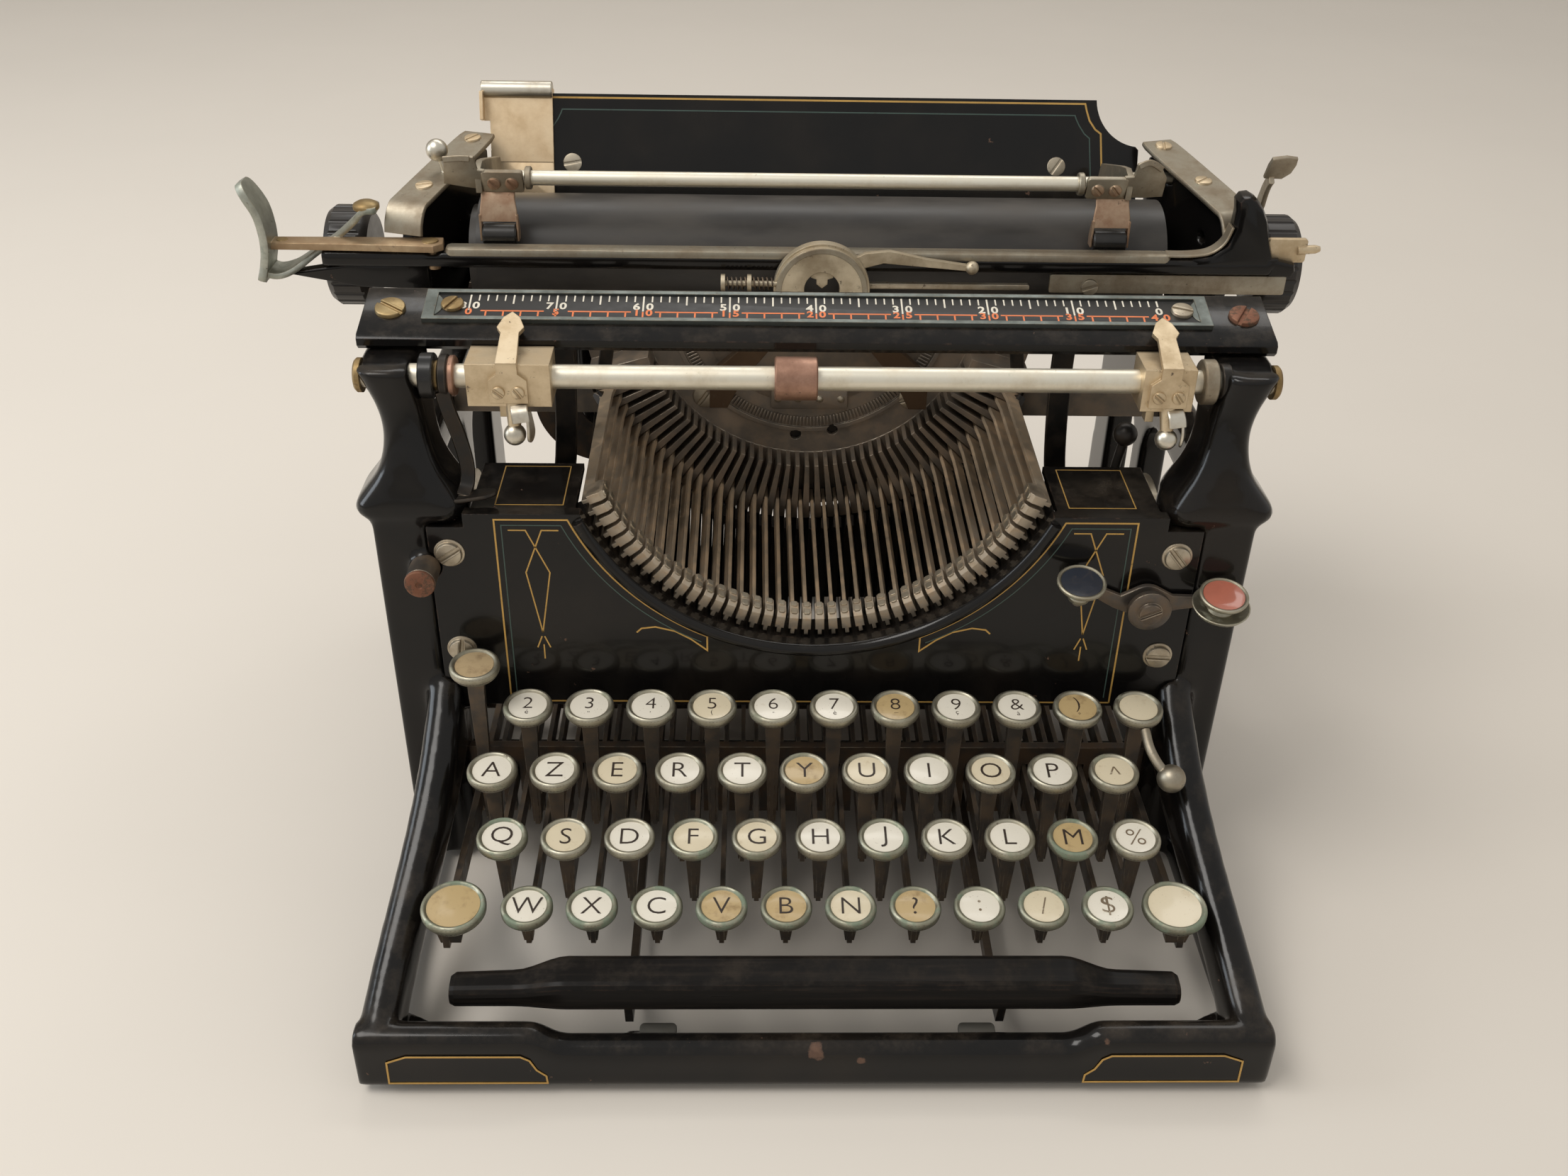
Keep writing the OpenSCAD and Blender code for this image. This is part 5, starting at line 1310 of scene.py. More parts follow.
@dataclass
class TypeBasket:
    """Details of the type basket: type faces on the bars, the segment's cover and the typebars' links."""

    axis_z: float = 166.0
    lay: float = 74.0
    fan: float = 68.0
    bars: int = 42
    moving: int = 21
    head_y: float = -28.0
    head_in: float = 5.6
    face_y: float = 55.6
    teeth: int = 91
    tooth_span: Flat = (200, 140)
    rivets_x: Row = (-10.5, -3.5, 4.0, 11.5)
    rivet: Line = ((0, 0), (1.3, 0), (1.2, 0.35), (0.7, 0.65), (0, 0.72))
    screws: Track = ((-36.0, 131.0, 55), (36.0, 131.0, 20))
    # Dark discs just behind two holes in the segment's plate: painted shade seen through the holes
    plugs: Line = ((-4.0, 116.0), (9.0, 118.0))
    plug: Line = ((0, -0.5), (3.0, -0.5), (3.2, 0.0), (2.8, 0.6), (0, 0.7))

    def build(self) -> None:
        """Makes the type faces, the segment's trim and the links."""
        still, moving = Solid(), Solid()
        for i in range(self.bars):
            angle = math.radians(-self.fan + 2 * self.fan * i / (self.bars - 1))
            inward = Vector((-math.sin(angle), 0, math.cos(angle)))
            out = Vector((math.sin(angle) * self.lay, 0, self.axis_z - math.cos(angle) * self.lay))
            head = out + Vector((0, self.head_y, 0)) + inward * self.head_in
            seat = Seat(head, Vector((0, -1, 0)).cross(inward), BACK)
            target = moving if i == self.moving else still
            for shift in (-2.0, 2.0):
                target.block(seat.moved(0, shift), (2.0, 2.6), -0.3, 0.55, 0.3, 0.5)
        still.piece("type_faces", "frame", "oiled_steel", NICKEL)
        moving.piece("type_face_moving", "typebar_y", "oiled_steel", NICKEL)
        self.segment()
        self.links()

    def segment(self) -> None:
        """The segment's cover, toothed ring, screws, riveted plate, and dark discs behind its two holes as
        painted shade.
        """
        trim = Solid()
        face = facing_front(0, self.face_y, 0)
        trim.prism(face, arc(0, self.axis_z, 38.0, 205, 335, 40), -1.9, 0.0, 0.3)
        start, span = self.tooth_span
        for i in range(self.teeth):
            spoke = face.moved(0, self.axis_z).turned(start + span * i / (self.teeth - 1)).moved(44.6, 0)
            trim.block(spoke, (3.6, 0.62), -0.5, 0.5, 0.1, 0.15)
        trim.block(face.moved(0.5, 130.5), (27.0, 8.0), -0.2, 1.1, 0.4, 1.0)
        trim.skin = 1
        for x, z, turn in self.screws:
            trim.screw(face.moved(x, z, -0.5), 4.3, turn, 1.5)
        for x in self.rivets_x:
            trim.revolve(face.moved(x, 130.5, 1.0), self.rivet, 18)
        # Dark discs just behind the plate's two holes: painted shade seen through them
        trim.skin = 2
        for x, z in self.plugs:
            trim.revolve(facing_front(x, self.face_y + 3.0, z), self.plug, 24)
        trim.piece("segment_cover", "frame", "oiled_steel", SEGMENT_PAINTED_LIGHT, NICKEL, BLACK_STEEL)

    def links(self) -> None:
        """Two rows of flat links that hang from the typebars' heels towards the key levers."""
        links = Solid()
        for i in range(2 * self.bars - 1):
            back = i % 2
            share = i / (2 * self.bars - 2)
            angle = math.radians(-self.fan + 2 * self.fan * share)
            r = self.lay + 3.2 + 4.0 * back
            x, z = math.sin(angle) * r, self.axis_z - math.cos(angle) * r
            end_x = 0.62 * x + 0.38 * (-96 + 192 * share)
            y = 43.5 + 16.0 * back
            line = ((x, y - 4.0, z), (x * 0.985, y, z - 9), (end_x, y + 9.0, 56.0), (end_x, y + 10.0, 39.5))
            links.strap(flowing(line, 5), Vector((0, 1, 0.2)), 5.0, 2.7 + 1.2 * back)
        links.piece("typebar_links", "frame", "oiled_steel", BLACK_STEEL)


# Stop rod and selector


@dataclass
class StopRod:
    """The stop rod with its nuts and sleeves, small levers and posts round it, and the margin stops' trim."""

    rod_y: float = -25.0
    rod_z: float = 175.5
    rod_r: float = 3.5
    half: float = 132.6
    nut_x: float = 132.0
    nut: Line = ((0, -0.5), (5.0, -0.5), (5.0, 0.9), (4.4, 1.5), (2.0, 1.9), (0, 2.0))
    bore: float = 3.55
    sleeves: tuple[tuple[float, float, float, int], ...] = (
        (-7.0, 6.2, 6.3, 0), (-112.75, 2.1, 6.6, 1), (-110.1, 0.7, 4.4, 2), (-108.0, 1.3, 6.2, 3),
        (-105.7, 0.95, 5.9, 0), (112.75, 2.1, 6.6, 4), (117.4, 1.6, 5.4, 3))
    hanger: Track = (
        (-108.2, -29.5, 172.5), (-107.4, -29.2, 167.0), (-105.2, -28.0, 157.0), (-104.0, -27.5, 148.0),
        (-104.2, -29.0, 142.5), (-105.0, -33.0, 140.2))
    tongue: Track = (
        (-112.5, -34.0, 139.8), (-106.0, -33.4, 140.0), (-98.0, -31.5, 140.4), (-95.5, -30.6, 140.6))
    tongue_widths: Row = (5.5,) * 12 + (5.0, 4.6, 4.2, 3.8, 3.2, 2.4, 1.6)
    knob_stem: Track = ((95.0, -5.0, 133.0), (95.4, -5.0, 138.0), (96.4, -5.0, 144.0), (96.8, -5.0, 147.0))
    knob_at: Spot = (96.8, -5.0, 148.2)
    button_arm: Track = (
        (109.4, -70.0, 63.6), (106.0, -67.6, 66.4), (103.6, -63.0, 69.4), (103.0, -57.0, 72.0))
    button_arm_r: Row = (2.6, 2.0) + (1.5,) * 17
    posts: tuple[Row, ...] = ((79.0, 16.0, 108.0, 179.6, 7.0), (64.0, 30.0, 147.0, 179.6, 4.5))
    stops: tuple[tuple[str, float], ...] = (("left", -89.0), ("right", 100.0))
    stop_tip_widths: Row = (2.2, 2.4, 2.6, 2.8, 3.0, 3.2, 3.4, 3.5, 3.4, 3.2, 2.8, 2.2, 1.2)

    def build(self) -> None:
        """Makes the rod, its sleeves and levers, and the stops' trim."""
        rod = Solid().rod(facing_side(0, self.rod_y, self.rod_z, 1), self.rod_r, -self.half, self.half, 40)
        rod.skin = 1
        for side in (-1, 1):
            rod.revolve(facing_side(side * self.nut_x, self.rod_y, self.rod_z, side), self.nut, 32)
        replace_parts(rod.piece("stop_rod_bar", "frame", "aged_nickel", ROD_NICKEL, BRASS), "stop_rod")
        self.levers()
        for name, x in self.stops:
            self.stop(name, x)

    def levers(self) -> None:
        """The sleeves on the rod, the levers that hang by it and the posts behind it."""
        trim = Solid()
        for x, half, r, skin in self.sleeves:
            trim.skin = skin
            ring = [(self.bore, -half), (r - 0.4, -half), (r, -half + 0.4),
                    (r, half - 0.4), (r - 0.4, half), (self.bore, half)]
            trim.revolve(facing_side(x, self.rod_y, self.rod_z, 1), ring, 36, True)
        trim.skin = 3
        trim.strap(flowing(self.hanger), Vector((1, 0.15, 0)), 4.4, 1.5)
        trim.strap(flowing(self.tongue), Vector((0.1, 1, 0)), self.tongue_widths, 1.2)
        trim.tube(flowing(self.knob_stem), 1.5, 14)
        trim.ball(Vector(self.knob_at), 3.8)
        trim.skin = 4
        trim.ball(Vector(self.button_arm[0]), 4.4)
        trim.tube(flowing(self.button_arm), self.button_arm_r, 14)
        trim.skin = 3
        for side in (-1, 1):
            for x, y, low, high, wide in self.posts:
                line = ((side * (x + 5), y + 2.0, low), (side * (x + 1.5), y, low + 20.0),
                        (side * x, y, (low + high) / 2 + 12.0), (side * x, y - 2.0, high))
                trim.strap(flowing(line), RIGHT, wide, 2.0)
        trim.piece("rod_sleeves", "frame", "worn_brass", COPPER, SLEEVE, BRASS, BLACK_STEEL, STRIP_NICKEL)

    def stop(self, name: str, x: float) -> None:
        """Screws, flap, tip and ball of the margin stop at one place on the rod."""
        stop = Solid()
        face = facing_front(x, self.rod_y - 7.7, self.rod_z)
        for shift, turn in ((-2.8, -40), (2.8, -55)):
            stop.screw(face.moved(shift, -1.6), 1.9, turn, 0.8)
        stop.skin = 1
        stop.ball(Vector((x + 1, -33.2, 161.0)), 3.25)
        flap = flowing(((x + 2.6, -32.2, 169.6), (x + 3.0, -34.2, 168.2), (x + 3.4, -35.0, 165.6)))
        stop.strap(flap, RIGHT, 5.0, 1.0)
        tip = flowing(((x + 5.2, -32.6, 168.0), (x + 5.8, -33.6, 162.8), (x + 5.4, -33.4, 158.8)))
        stop.strap(tip, Vector((0.5, 1, 0)), self.stop_tip_widths, 0.9)
        stop.piece(f"stop_trim_{name}", f"margin_stop_{name}", "aged_nickel", BUFF_NICKEL, PALE_NICKEL)


@dataclass
class Selector:
    """The ribbon selector: a rocker with a boss and two coloured button discs in bright rings."""

    pivot: Spot = (101.5, -44.2, 108.5)
    plate_y: float = -38.75
    button_y: float = 1.6
    buttons: tuple[tuple[float, float, Finish], ...] = ((-22.4, 4.6, BLUE_DISC), (21.2, 0.2, RED_DISC))
    hub_r: float = 6
    left_arm: Line = ((-8, 2.4), (-14, 5.0), (-20, 6.0), (-23, 3.2), (-16, 1.6), (-10, -2))
    right_arm: Line = ((10, -2.6), (17, -1.6), (22, -1.8), (21, 1.2), (14, 2.2), (8, 2.4))
    axle: Line = ((0, -4.0), (1.8, -4.0), (1.8, 0), (3.4, 0), (3.4, 4.8), (0, 4.8))
    boss: Line = ((0, -1.5), (6.4, -1.5), (6.7, -1.0), (6.6, 0.6), (5.8, 1.2), (4.2, 1.3), (0, 1.3))
    ring: Line = (
        (0, -0.5), (7.1, -0.5), (7.4, 0.1), (7.35, 0.7), (6.9, 1.0), (6.4, 0.8), (6.3, 0.4), (0, 0.4))
    disc: Line = ((0, 0.35), (6.25, 0.35), (6.2, 0.6), (4.5, 0.8), (0, 0.9))
    stems: tuple[tuple[Line, int], ...] = (
        (((0, -7.5), (1.8, -7.2), (3.2, -5.8), (3.4, -4.4), (2.4, -2.8), (2.2, -1.4), (6.0, 0.0),
          (0, 0)), 28),
        (((0, -6.2), (4.6, -6.0), (8.0, -4.6), (8.8, -3.2), (8.5, -3.0), (4.0, -4.6), (2.4, -2.5),
          (5.8, 0.0), (0, 0)), 32))

    def build(self) -> None:
        """Makes the rocker, its boss and its two buttons."""
        px, py, pz = self.pivot
        rocker = Solid()
        shape = [*arc(0, 0, self.hub_r, 60, 120, 5), *self.left_arm, *arc(0, 0, self.hub_r, 230, 310, 5),
                 *self.right_arm]
        rocker.prism(facing_front(px, self.plate_y, pz), shape, 0.05, 1.6, 0.4)
        rocker.revolve(facing_front(px, -39.6, pz), self.axle, 28)
        for dx, dz, _ in self.buttons:
            stalk = [Vector((px + dx, -39.4, pz + dz - 1.4)),
                     Vector((px + dx, py - self.button_y, pz + dz))]
            rocker.tube(stalk, 2.2, 18)
        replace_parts(rocker.piece("selector_rocker", "ribbon_selector", "oiled_steel", KEY_STEEL),
                    "ribbon_selector")
        hub = facing_front(px, py - 0.6, pz)
        boss = Solid().revolve(hub, self.boss, 36).screw(hub.moved(0, 0, 1.2), 3.6, 25, 1.4)
        boss.piece("selector_boss", "ribbon_selector", "oiled_steel", KEY_STEEL)
        for i, (dx, dz, tint) in enumerate(self.buttons):
            top = Solid()
            seat = facing_up(px + dx, py - self.button_y, pz + dz + 3.0).tipped(12).moved(0, 0, 3.4)
            top.revolve(seat, self.ring, 40)
            top.skin = 1
            top.revolve(seat, self.disc, 40)
            top.skin = 0
            stem, steps = self.stems[i]
            top.revolve(seat.moved(0, 0, -0.4), stem, steps)
            top.piece(f"selector_button_{i}", "ribbon_selector", "key_nickel", KEY_RING, tint)


# Carriage


@dataclass
class EndStrips:
    """The carriage's rounded casting and its bright strips, with their screws and a silver ball on a stem."""

    middle: float = 4.0
    half: float = 140.0
    front_y: float = 48.0
    top_z: float = 198.6
    turn: float = 17.35
    rise: float = 6.0 / 41.05
    level_at: float = 18.0
    horn_room: tuple[Spot, Spot] = ((139.0, 44.0, 185.3), (162.0, 56.2, 212.0))
    line: Line = ((7.2, 188.6), (8.4, 192.6), (11.6, 196.5), (17.0, 197.7), (40.0, 201.1), (66.4, 204.9))
    widths: Row = (13.6,) * 26 + (13.5, 13.4, 13.2, 12.8, 11.6)
    screws: tuple[tuple[int, Flat], ...] = ((-1, (24.0, 61.0)), (1, (34.0, 61.5)))
    rail_tail: Track = (
        (117.0, 51.4, 185.8), (124.7, 51.4, 185.9), (130.8, 51.4, 187.0), (134.9, 51.4, 190.4),
        (136.8, 51.4, 195.8))

    def strip(self, side: int, along: float) -> Seat:
        """A seat on the top of one end strip, at a length from its front."""
        turn = math.radians(self.turn) * side
        ahead = Vector((-math.sin(turn), math.cos(turn), 0))
        v = (ahead + Vector((0, 0, self.rise))).normalized()
        u = v.cross(UP).normalized()
        front = Vector((self.middle + side * self.half, self.front_y, self.top_z))
        return Seat(front + ahead * along + Vector((0, 0, self.rise * (along - self.level_at))), u, v)

    def build(self) -> None:
        """Makes the casting, then the strips on its end plates and front rail."""
        room = [tuple(Vector(corner) for corner in self.horn_room)]
        softened("carriage_frame", "carriage_casting", "carriage", ENAMEL, voxel=0.9,
                 rounds=4, keep=0.3, without=room)
        strips = Solid()
        for side, places in self.screws:
            path = flowing([(*self.strip(side, a).origin.xy, z) for a, z in self.line])
            strips.skin = 0
            strips.strap(path, self.strip(side, 0).u, self.widths, 1.6)
            strips.skin = 1
            for i, along in enumerate(places):
                strips.screw(self.strip(side, along).moved(0, 0, 0.1), 2.9, 25 + 40 * i, 0.7)
        strips.skin = 0
        strips.block(facing_up(-1.0, self.front_y + 3.4, 185.0), (238.0, 6.2), -1.3, 1.3, 1.3, 2.0)
        strips.strap(flowing(self.rail_tail), BACK, 5.2, 0.9)
        strips.skin = 2
        foot = self.strip(-1, 36.0)
        stem = [foot.at(2.0, 0.0, -0.4), foot.at(1.4, 0.0, 2.4), foot.at(0.3, 0.0, 5.2)]
        strips.tube(stem, [1.6, 1.3, 1.1], 14)
        strips.ball(foot.at(0.0, 0.0, 7.2), 3.7)
        made = strips.piece("end_strip_set", "carriage", "aged_nickel", STRIP_NICKEL, BUFF_NICKEL,
                            PALE_NICKEL)
        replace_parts(made, "end_strips")


@dataclass
class PaperTable:
    """Gold and green lines and two screws on the paper table."""

    foot: Spot = (4.0, 106.0, 176.0)
    lean: float = 20.0
    proud: float = 0.07
    gold_width: float = 0.62
    green_width: float = 0.42
    gold_line: Line = (
        (102.4, 4.0), (102.2, 18.0), (101.1, 32.1), (99.0, 33.6), (96.8, 36.6), (95.6, 40.0), (95.0, 42.3))
    green_line: Line = (
        (98.4, 4.0), (98.1, 18.0), (97.1, 30.5), (95.2, 32.0), (93.2, 34.8), (92.0, 37.0), (91.5, 38.3))
    screws: Track = ((-88.2, 20.0, 10), (85.6, 20.6, 55))

    def sheet(self) -> Seat:
        """The front face of the paper table, from the middle of its foot."""
        s = math.radians(self.lean)
        return Seat(Vector(self.foot), RIGHT, Vector((0, math.sin(s), math.cos(s))))

    def build(self) -> None:
        """Makes the lines and the screws."""
        seat = self.sheet()
        kinds = (("table_gold_lines", self.gold_line, self.gold_width, GOLD),
                 ("table_green_lines", self.green_line, self.green_width, GREEN))
        for name, half, width, finish in kinds:
            lines = Solid().ribbon(seat, [*half, *mirrored(half[::-1], -1)], width, 0.0, self.proud)
            lines.piece(name, "carriage", "worn_brass", finish)
        heads = Solid()
        for x, along, turn in self.screws:
            heads.screw(seat.moved(x, along), 3.3, turn, 0.26)
        heads.piece("table_screws", "carriage", "aged_nickel", NICKEL)


@dataclass
class PaperBail:
    """The paper bail: rod, arms and hinge pins, screwed plates with bent tabs, copper fingers and rollers."""

    middle: float = -2.5
    rod_at: Flat = (62.0, 205.5)
    rod_r: float = 2.4
    rod_half: float = 101
    arm_x: float = 106.0
    arm: Line = (
        (58.6, 201.4), (90.0, 191.8), (99.5, 192.4), (101.0, 196.0), (99.0, 201.0), (72.0, 208.6),
        (64.0, 210.4), (58.4, 209.0))
    pin_at: Flat = (96.0, 197.0)
    pin_long: Flat = (24.0, 6.5)
    fingers_x: Flat = (-102.8, 98.7)
    finger: Line = ((62.6, 202.6), (60.6, 201.4), (59.0, 198.6), (57.8, 195.0), (57.2, 192.4))
    finger_widths: Row = (11.0,) * 12 + (11.2, 11.4, 11.6, 11.8, 12.0) + (12.2,) * 8
    ear_x: float = 6.0
    ear: Line = ((56.4, 186.0), (60.2, 186.0), (60.4, 189.4), (58.2, 194.6), (56.8, 194.6))
    roller_at: Flat = (58.3, 187.6)
    roller: Line = ((1.0, -5.5), (3.2, -5.5), (3.6, -5.0), (3.6, 5.0), (3.2, 5.5), (1.0, 5.5))
    collar: Line = ((0, -1.0), (3.4, -1.0), (3.7, -0.7), (3.7, 0.7), (3.4, 1.0), (0, 1.0))
    left_tab: Line = (
        (5.6, -3.0), (12.0, -2.2), (19.2, -0.8), (18.4, 4.8), (18.0, 8.4), (13.0, 9.4), (8.4, 9.2),
        (7.7, 4.4), (5.6, 4.2))
    right_tab: Line = (
        (5.2, -3.2), (12.0, -3.4), (18.9, -2.8), (18.9, 4.2), (16.7, 7.8), (12.5, 10.8), (8.6, 9.2),
        (8.2, 4.7), (5.4, 4.4))

    def build(self) -> None:
        """Makes the rod with its arms and fingers, the rollers and the two plates."""
        rod, rollers = Solid(), Solid()
        rod.rod(facing_side(self.middle, *self.rod_at, 1), self.rod_r, -self.rod_half, self.rod_half, 28)
        rod.skin = 1
        for side in (-1, 1):
            x = self.middle + side * self.arm_x
            rod.prism(facing_side(x, 0, 0, 1), self.arm, -1.0, 1.0, 0.4)
            rod.rod(facing_side(x - side * 0.5, *self.pin_at, side), PIN_R, 0,
                    self.pin_long[0] + side * self.pin_long[1])
        rod.skin = 2
        for x in self.fingers_x:
            rod.strap(flowing([(x, y, z) for y, z in self.finger]), RIGHT, self.finger_widths, 0.9)
            for side in (-1, 1):
                rod.prism(facing_side(x + side * self.ear_x, 0, 0, 1), self.ear, -0.35, 0.35, 0.1)
            rollers.revolve(facing_side(x, *self.roller_at, 1), self.roller, 32, True)
        made = rod.piece("paper_bail_set", "paper_bail", "aged_nickel", ROD_NICKEL, STRIP_NICKEL, FINGER)
        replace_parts(made, "paper_bail")
        rollers.piece("bail_roller_sleeves", "paper_bail", "platen_rubber", SLEEVE)
        self.plate("left", -1, -100.7, self.left_tab)
        self.plate("right", 1, 95.9, self.right_tab)

    def plate(self, name: str, side: int, x: float, tab: Line) -> None:
        """The screwed plate at one end of the rod, with its bent tab and a collar."""
        plate = Solid()
        face = facing_front(x, 59.0, 205.0).tipped(18)
        plate.block(face, (13.2, 7.8), -1.2, 0.4, 0.3, 1.0)
        plate.prism(face, mirrored(tab if side > 0 else tab[::-1], side), -1.0, 0.2, 0.25)
        bend, crest, inner = tab[4], tab[5], tab[6]
        fold = ((crest[0] - 3.4, inner[1] - 0.4), (crest[0], crest[1] - 0.5), bend)
        path = flowing([face.at(side * a, b, 0.2) for a, b in fold])
        plate.strap(path, face.w * 0.4 - face.v, 2.0, 0.7)
        plate.revolve(facing_side(x - side * 8.0, *self.rod_at, 1), self.collar, 28)
        plate.skin = 1
        for shift in (-2.9, 2.9):
            plate.screw(face.moved(shift, -0.4, 0.35), 2.1, 40 + 30 * shift, 0.8)
        plate.piece(f"bail_bracket_{name}", "paper_bail", "aged_nickel", STRIP_NICKEL, FINGER)


@dataclass
class ReturnLever:
    """The return lever: flat bar on its pin, curved arm with a domed screw, and a swept finger blade."""

    bar: Line = (
        (-176.0, 48.4), (-150.0, 48.0), (-123.0, 46.8), (-120.2, 49.4), (-121.0, 55.2), (-150.0, 55.0),
        (-176.0, 54.6))
    bar_z: float = 185.3
    pin_at: Spot = (-124.0, 51.2, 178.6)
    pin_long: float = 6.8
    blade_y: float = 51.2
    blade: Line = (
        (-182.6, 206.8), (-180.4, 203.0), (-177.8, 197.6), (-176.8, 191.0), (-177.0, 185.0),
        (-178.2, 179.6), (-179.4, 175.4))
    blade_widths: Row = (
        (5.5, 7.5, 9.0, 10.0, 10.8, 11.3, 11.7, 12.0) + (12.2,) * 22
        + (12.4, 12.8, 13.2, 13.4, 13.4, 13.0, 11.5))
    arm: Track = (
        (-141.8, 57.0, 196.6), (-146.0, 57.0, 196.2), (-149.6, 57.2, 192.4), (-156.4, 57.4, 186.6),
        (-162.8, 56.4, 182.4), (-169.4, 53.6, 178.4), (-174.6, 51.8, 177.0), (-178.6, 51.4, 178.0))
    arm_widths: Row = (
        (7.0, 8.2) + (8.6,) * 7 + (8.2, 7.8, 7.4, 7.0, 6.8) + (6.6,) * 8
        + (6.8, 7.0, 7.2, 7.6, 8.0, 8.6, 9.2, 9.8, 10.4, 10.8, 11.2, 11.4) + (11.6,) * 9)
    heads: tuple[tuple[Spot, int, Line], ...] = (
        ((-145.4, 57.0, 197.0), 32, ((0, -0.6), (4.2, -0.6), (4.3, 0.3), (3.9, 1.1), (2.6, 1.8), (0, 2.1))),
        ((-124.6, 51.2, 187.5), 28, ((0, -0.3), (2.7, -0.3), (2.6, 0.5), (1.8, 0.75), (0, 0.8))),
        ((-172.6, 51.6, 187.5), 24, ((0, -0.3), (1.9, -0.3), (1.8, 0.3), (0, 0.4))))

    def build(self) -> None:
        """Makes the lever in one piece."""
        made = Solid()
        made.prism(facing_up(0, 0, self.bar_z), self.bar, 0.0, 2.3, 0.4)
        made.rod(facing_up(*self.pin_at), PIN_R, 0, self.pin_long)
        made.skin = 1
        made.strap(flowing([(x, self.blade_y, z) for x, z in self.blade]), BACK, self.blade_widths, 2.6)
        made.strap(flowing(self.arm), BACK, self.arm_widths, 1.9)
        made.skin = 2
        for place, steps, profile in self.heads:
            made.revolve(facing_up(*place), profile, steps)
        lever = made.piece("return_lever_set", "return_lever", "worn_brass", TAN_BAR, GREY_BLADE, BRASS)
        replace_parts(lever, "return_lever")


@dataclass
class RailEnds:
    """The ends of the carriage's front rail: plate, pin and bar at the right, the horn and the left wedge."""

    pin: Track = ((160.0, 51.4, 187.6), (166.0, 51.4, 188.0), (167.4, 51.4, 188.1))
    horn: Line = (
        (152.0, 180.4), (151.7, 186.0), (150.0, 190.6), (147.8, 198.1), (145.6, 202.2), (143.2, 205.0),
        (140.6, 206.4), (138.2, 206.0), (137.0, 204.2), (137.6, 200.6), (137.4, 195.2), (135.6, 189.8),
        (131.2, 186.6), (124.7, 185.3), (124.2, 181.0))
    tip: Line = (
        (151.0, 179.4), (158.8, 179.0), (159.8, 181.1), (159.2, 183.6), (153.4, 185.0), (151.0, 185.2))
    wedge: Line = (
        (-171.0, 176.3), (-148.5, 172.2), (-126.0, 171.6), (-126.0, 180.4), (-147.0, 180.4),
        (-161.6, 178.6), (-171.0, 177.0))

    def build(self) -> None:
        """Makes the plate and the horn."""
        plate = Solid()
        plate.block(facing_front(156.6, 51.6, 187.4), (13.0, 8.0), -1.2, 0.6, 0.3, 1.0)
        plate.tube([Vector(p) for p in self.pin], [1.5, 1.4, 0.9], 16)
        plate.skin = 1
        plate.block(facing_front(118.5, 50.2, 175.6), (79.0, 6.6), -1.2, 0.0, 0.3, 0.8)
        plate.screw(facing_front(92.5, 50.2, 174.6), 2.8, 20, 1.0)
        plate.piece("rail_end_plate", "carriage", "worn_brass", BUFF_NICKEL, STRIP_NICKEL)
        horn = Solid()
        parts = ((48.2, self.horn, 6.9, 2.2), (48.4, self.tip, 6.0, 1.0), (49.6, self.wedge, 4.0, 0.6))
        for y, outline, deep, ease in parts:
            horn.prism(facing_front(0, y, 0), outline, -deep, 0.0, ease)
        horn.piece("rail_horn", "carriage", "black_enamel", ENAMEL)


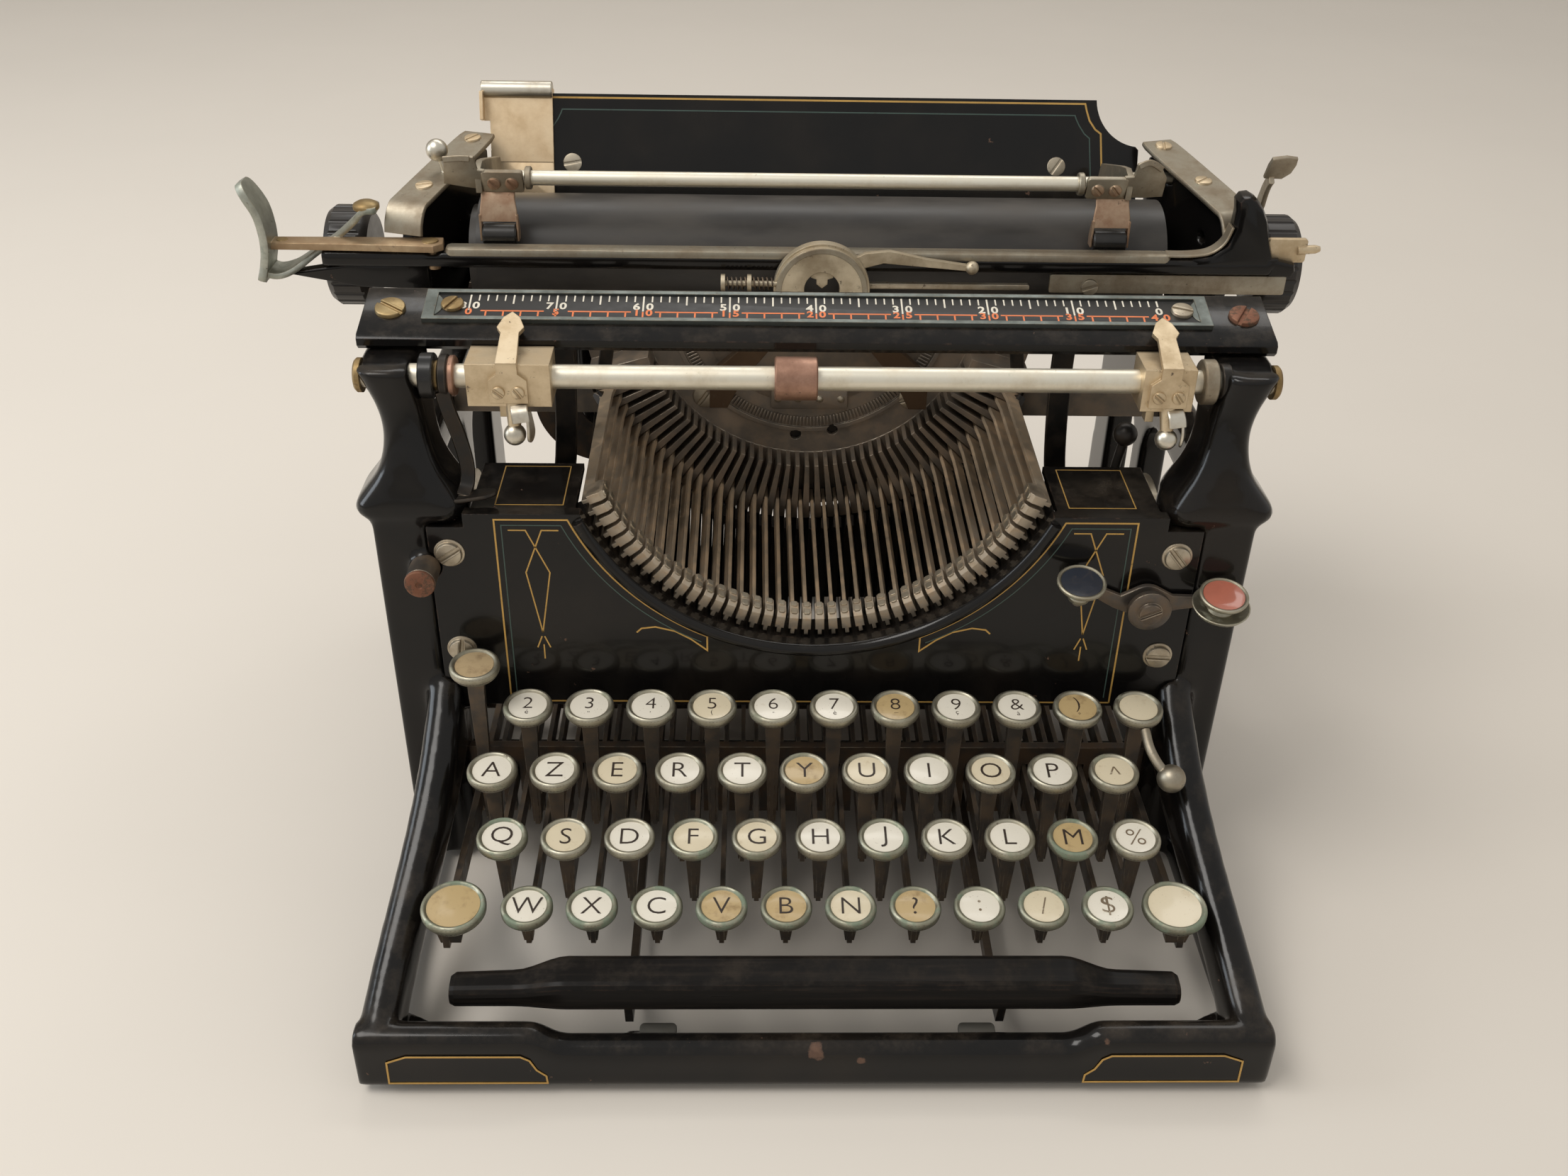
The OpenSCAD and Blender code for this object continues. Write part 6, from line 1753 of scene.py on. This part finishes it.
@dataclass
class PaperRelease:
    """The paper release: a bent stem on its axle, with a small leaf at the top."""

    stem: Track = (
        (149.4, 73.0, 184.0), (150.2, 71.6, 190.0), (150.2, 67.0, 198.0), (149.2, 61.6, 205.0),
        (147.8, 54.4, 210.8))
    stem_widths: Row = (
        (8.0, 7.6, 7.0, 6.4, 6.0, 5.6) + (5.2,) * 8
        + (5.0, 4.8, 4.6, 4.4, 4.2, 4.0, 3.8, 3.8, 4.0, 4.2, 4.4))
    axle_at: Spot = (148.6, 73.0, 184.0)
    axle: Line = ((0, -12.0), (1.95, -12.0), (1.95, -1.0), (4.4, -1.0), (4.4, 1.0), (0, 1.0))
    leaf_at: Spot = (150.2, 53.6, 214.0)
    leaf: Line = (
        (-4.6, -4.0), (1.2, -4.2), (3.6, -1.8), (4.4, 1.6), (4.2, 4.0), (0.6, 4.6), (-3.8, 3.8),
        (-4.4, 1.0))

    def build(self) -> None:
        """Makes the release in one piece."""
        made = Solid()
        made.strap(flowing(self.stem), Vector((0, 1, 0.6)), self.stem_widths, 1.6)
        made.revolve(facing_side(*self.axle_at, 1), self.axle, 24)
        made.prism(facing_front(*self.leaf_at).tipped(24), self.leaf, -1.0, 0.4, 0.4)
        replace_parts(made.piece("release_leaf", "paper_release", "aged_nickel", STRIP_NICKEL),
                    "paper_release")


@dataclass
class GuideTrim:
    """Small bright trim: rim of the type guide, rolled edge of the paper guide and the line gauge."""

    rim_at: Spot = (3.0, 42.0, 175.0)
    rim_r: float = 14.1
    screw_x: float = 10.4
    roll_x: Row = (-119.8, -119.5, -107.3, -95.1, -94.8)
    roll_r: Row = (2.8, 3.1, 3.1, 3.1, 2.8)
    gauge_at: Spot = (43.5, 48.6, 175.0)

    def build(self) -> None:
        """Makes the three pieces."""
        ring = Solid()
        front = facing_front(*self.rim_at)
        ring.ribbon(front, arc(0, 0, self.rim_r, -8, 188, 40), 1.7, -0.3, 0.45)
        ring.skin = 1
        for x in (-self.screw_x, self.screw_x):
            ring.screw(front.moved(x, -6.2), 2.0, 30 + x, 0.8)
        ring.piece("type_guide_rim", "frame", "aged_nickel", STRIP_NICKEL, BUFF_NICKEL)
        roll = Solid()
        sheet = PaperTable().sheet()
        roll.tube([sheet.at(x, 44.6, 0.3) for x in self.roll_x], self.roll_r, 28)
        roll.skin = 1
        roll.block(sheet.moved(-104.4, 14.5), (19.4, 14.6), 0.4, 1.3, 0.2, 0.8)
        roll.piece("paper_guide_roll", "paper_guide", "aged_nickel", PALE_NICKEL, TAN_NICKEL)
        gauge = Solid().block(facing_front(*self.gauge_at), (57.0, 1.9), -1.0, 0.8, 0.25, 0.6)
        gauge.piece("line_gauge", "frame", "aged_nickel", NICKEL)


# All together


def main() -> None:
    """Builds the scene piece by piece."""
    logging.basicConfig(level=logging.INFO, format="%(name)s: %(message)s")
    for part in (StageSet(), CadCoat(), BaseCasting(), FrontPlate(), ScaleDress(), Keyboard(), TypeBasket(),
                 StopRod(), Selector(), EndStrips(), PaperTable(), PaperBail(), ReturnLever(), RailEnds(),
                 PaperRelease(), GuideTrim()):
        LOG.info("building %s", type(part).__name__)
        part.build()


if __name__ == "__main__":
    main()
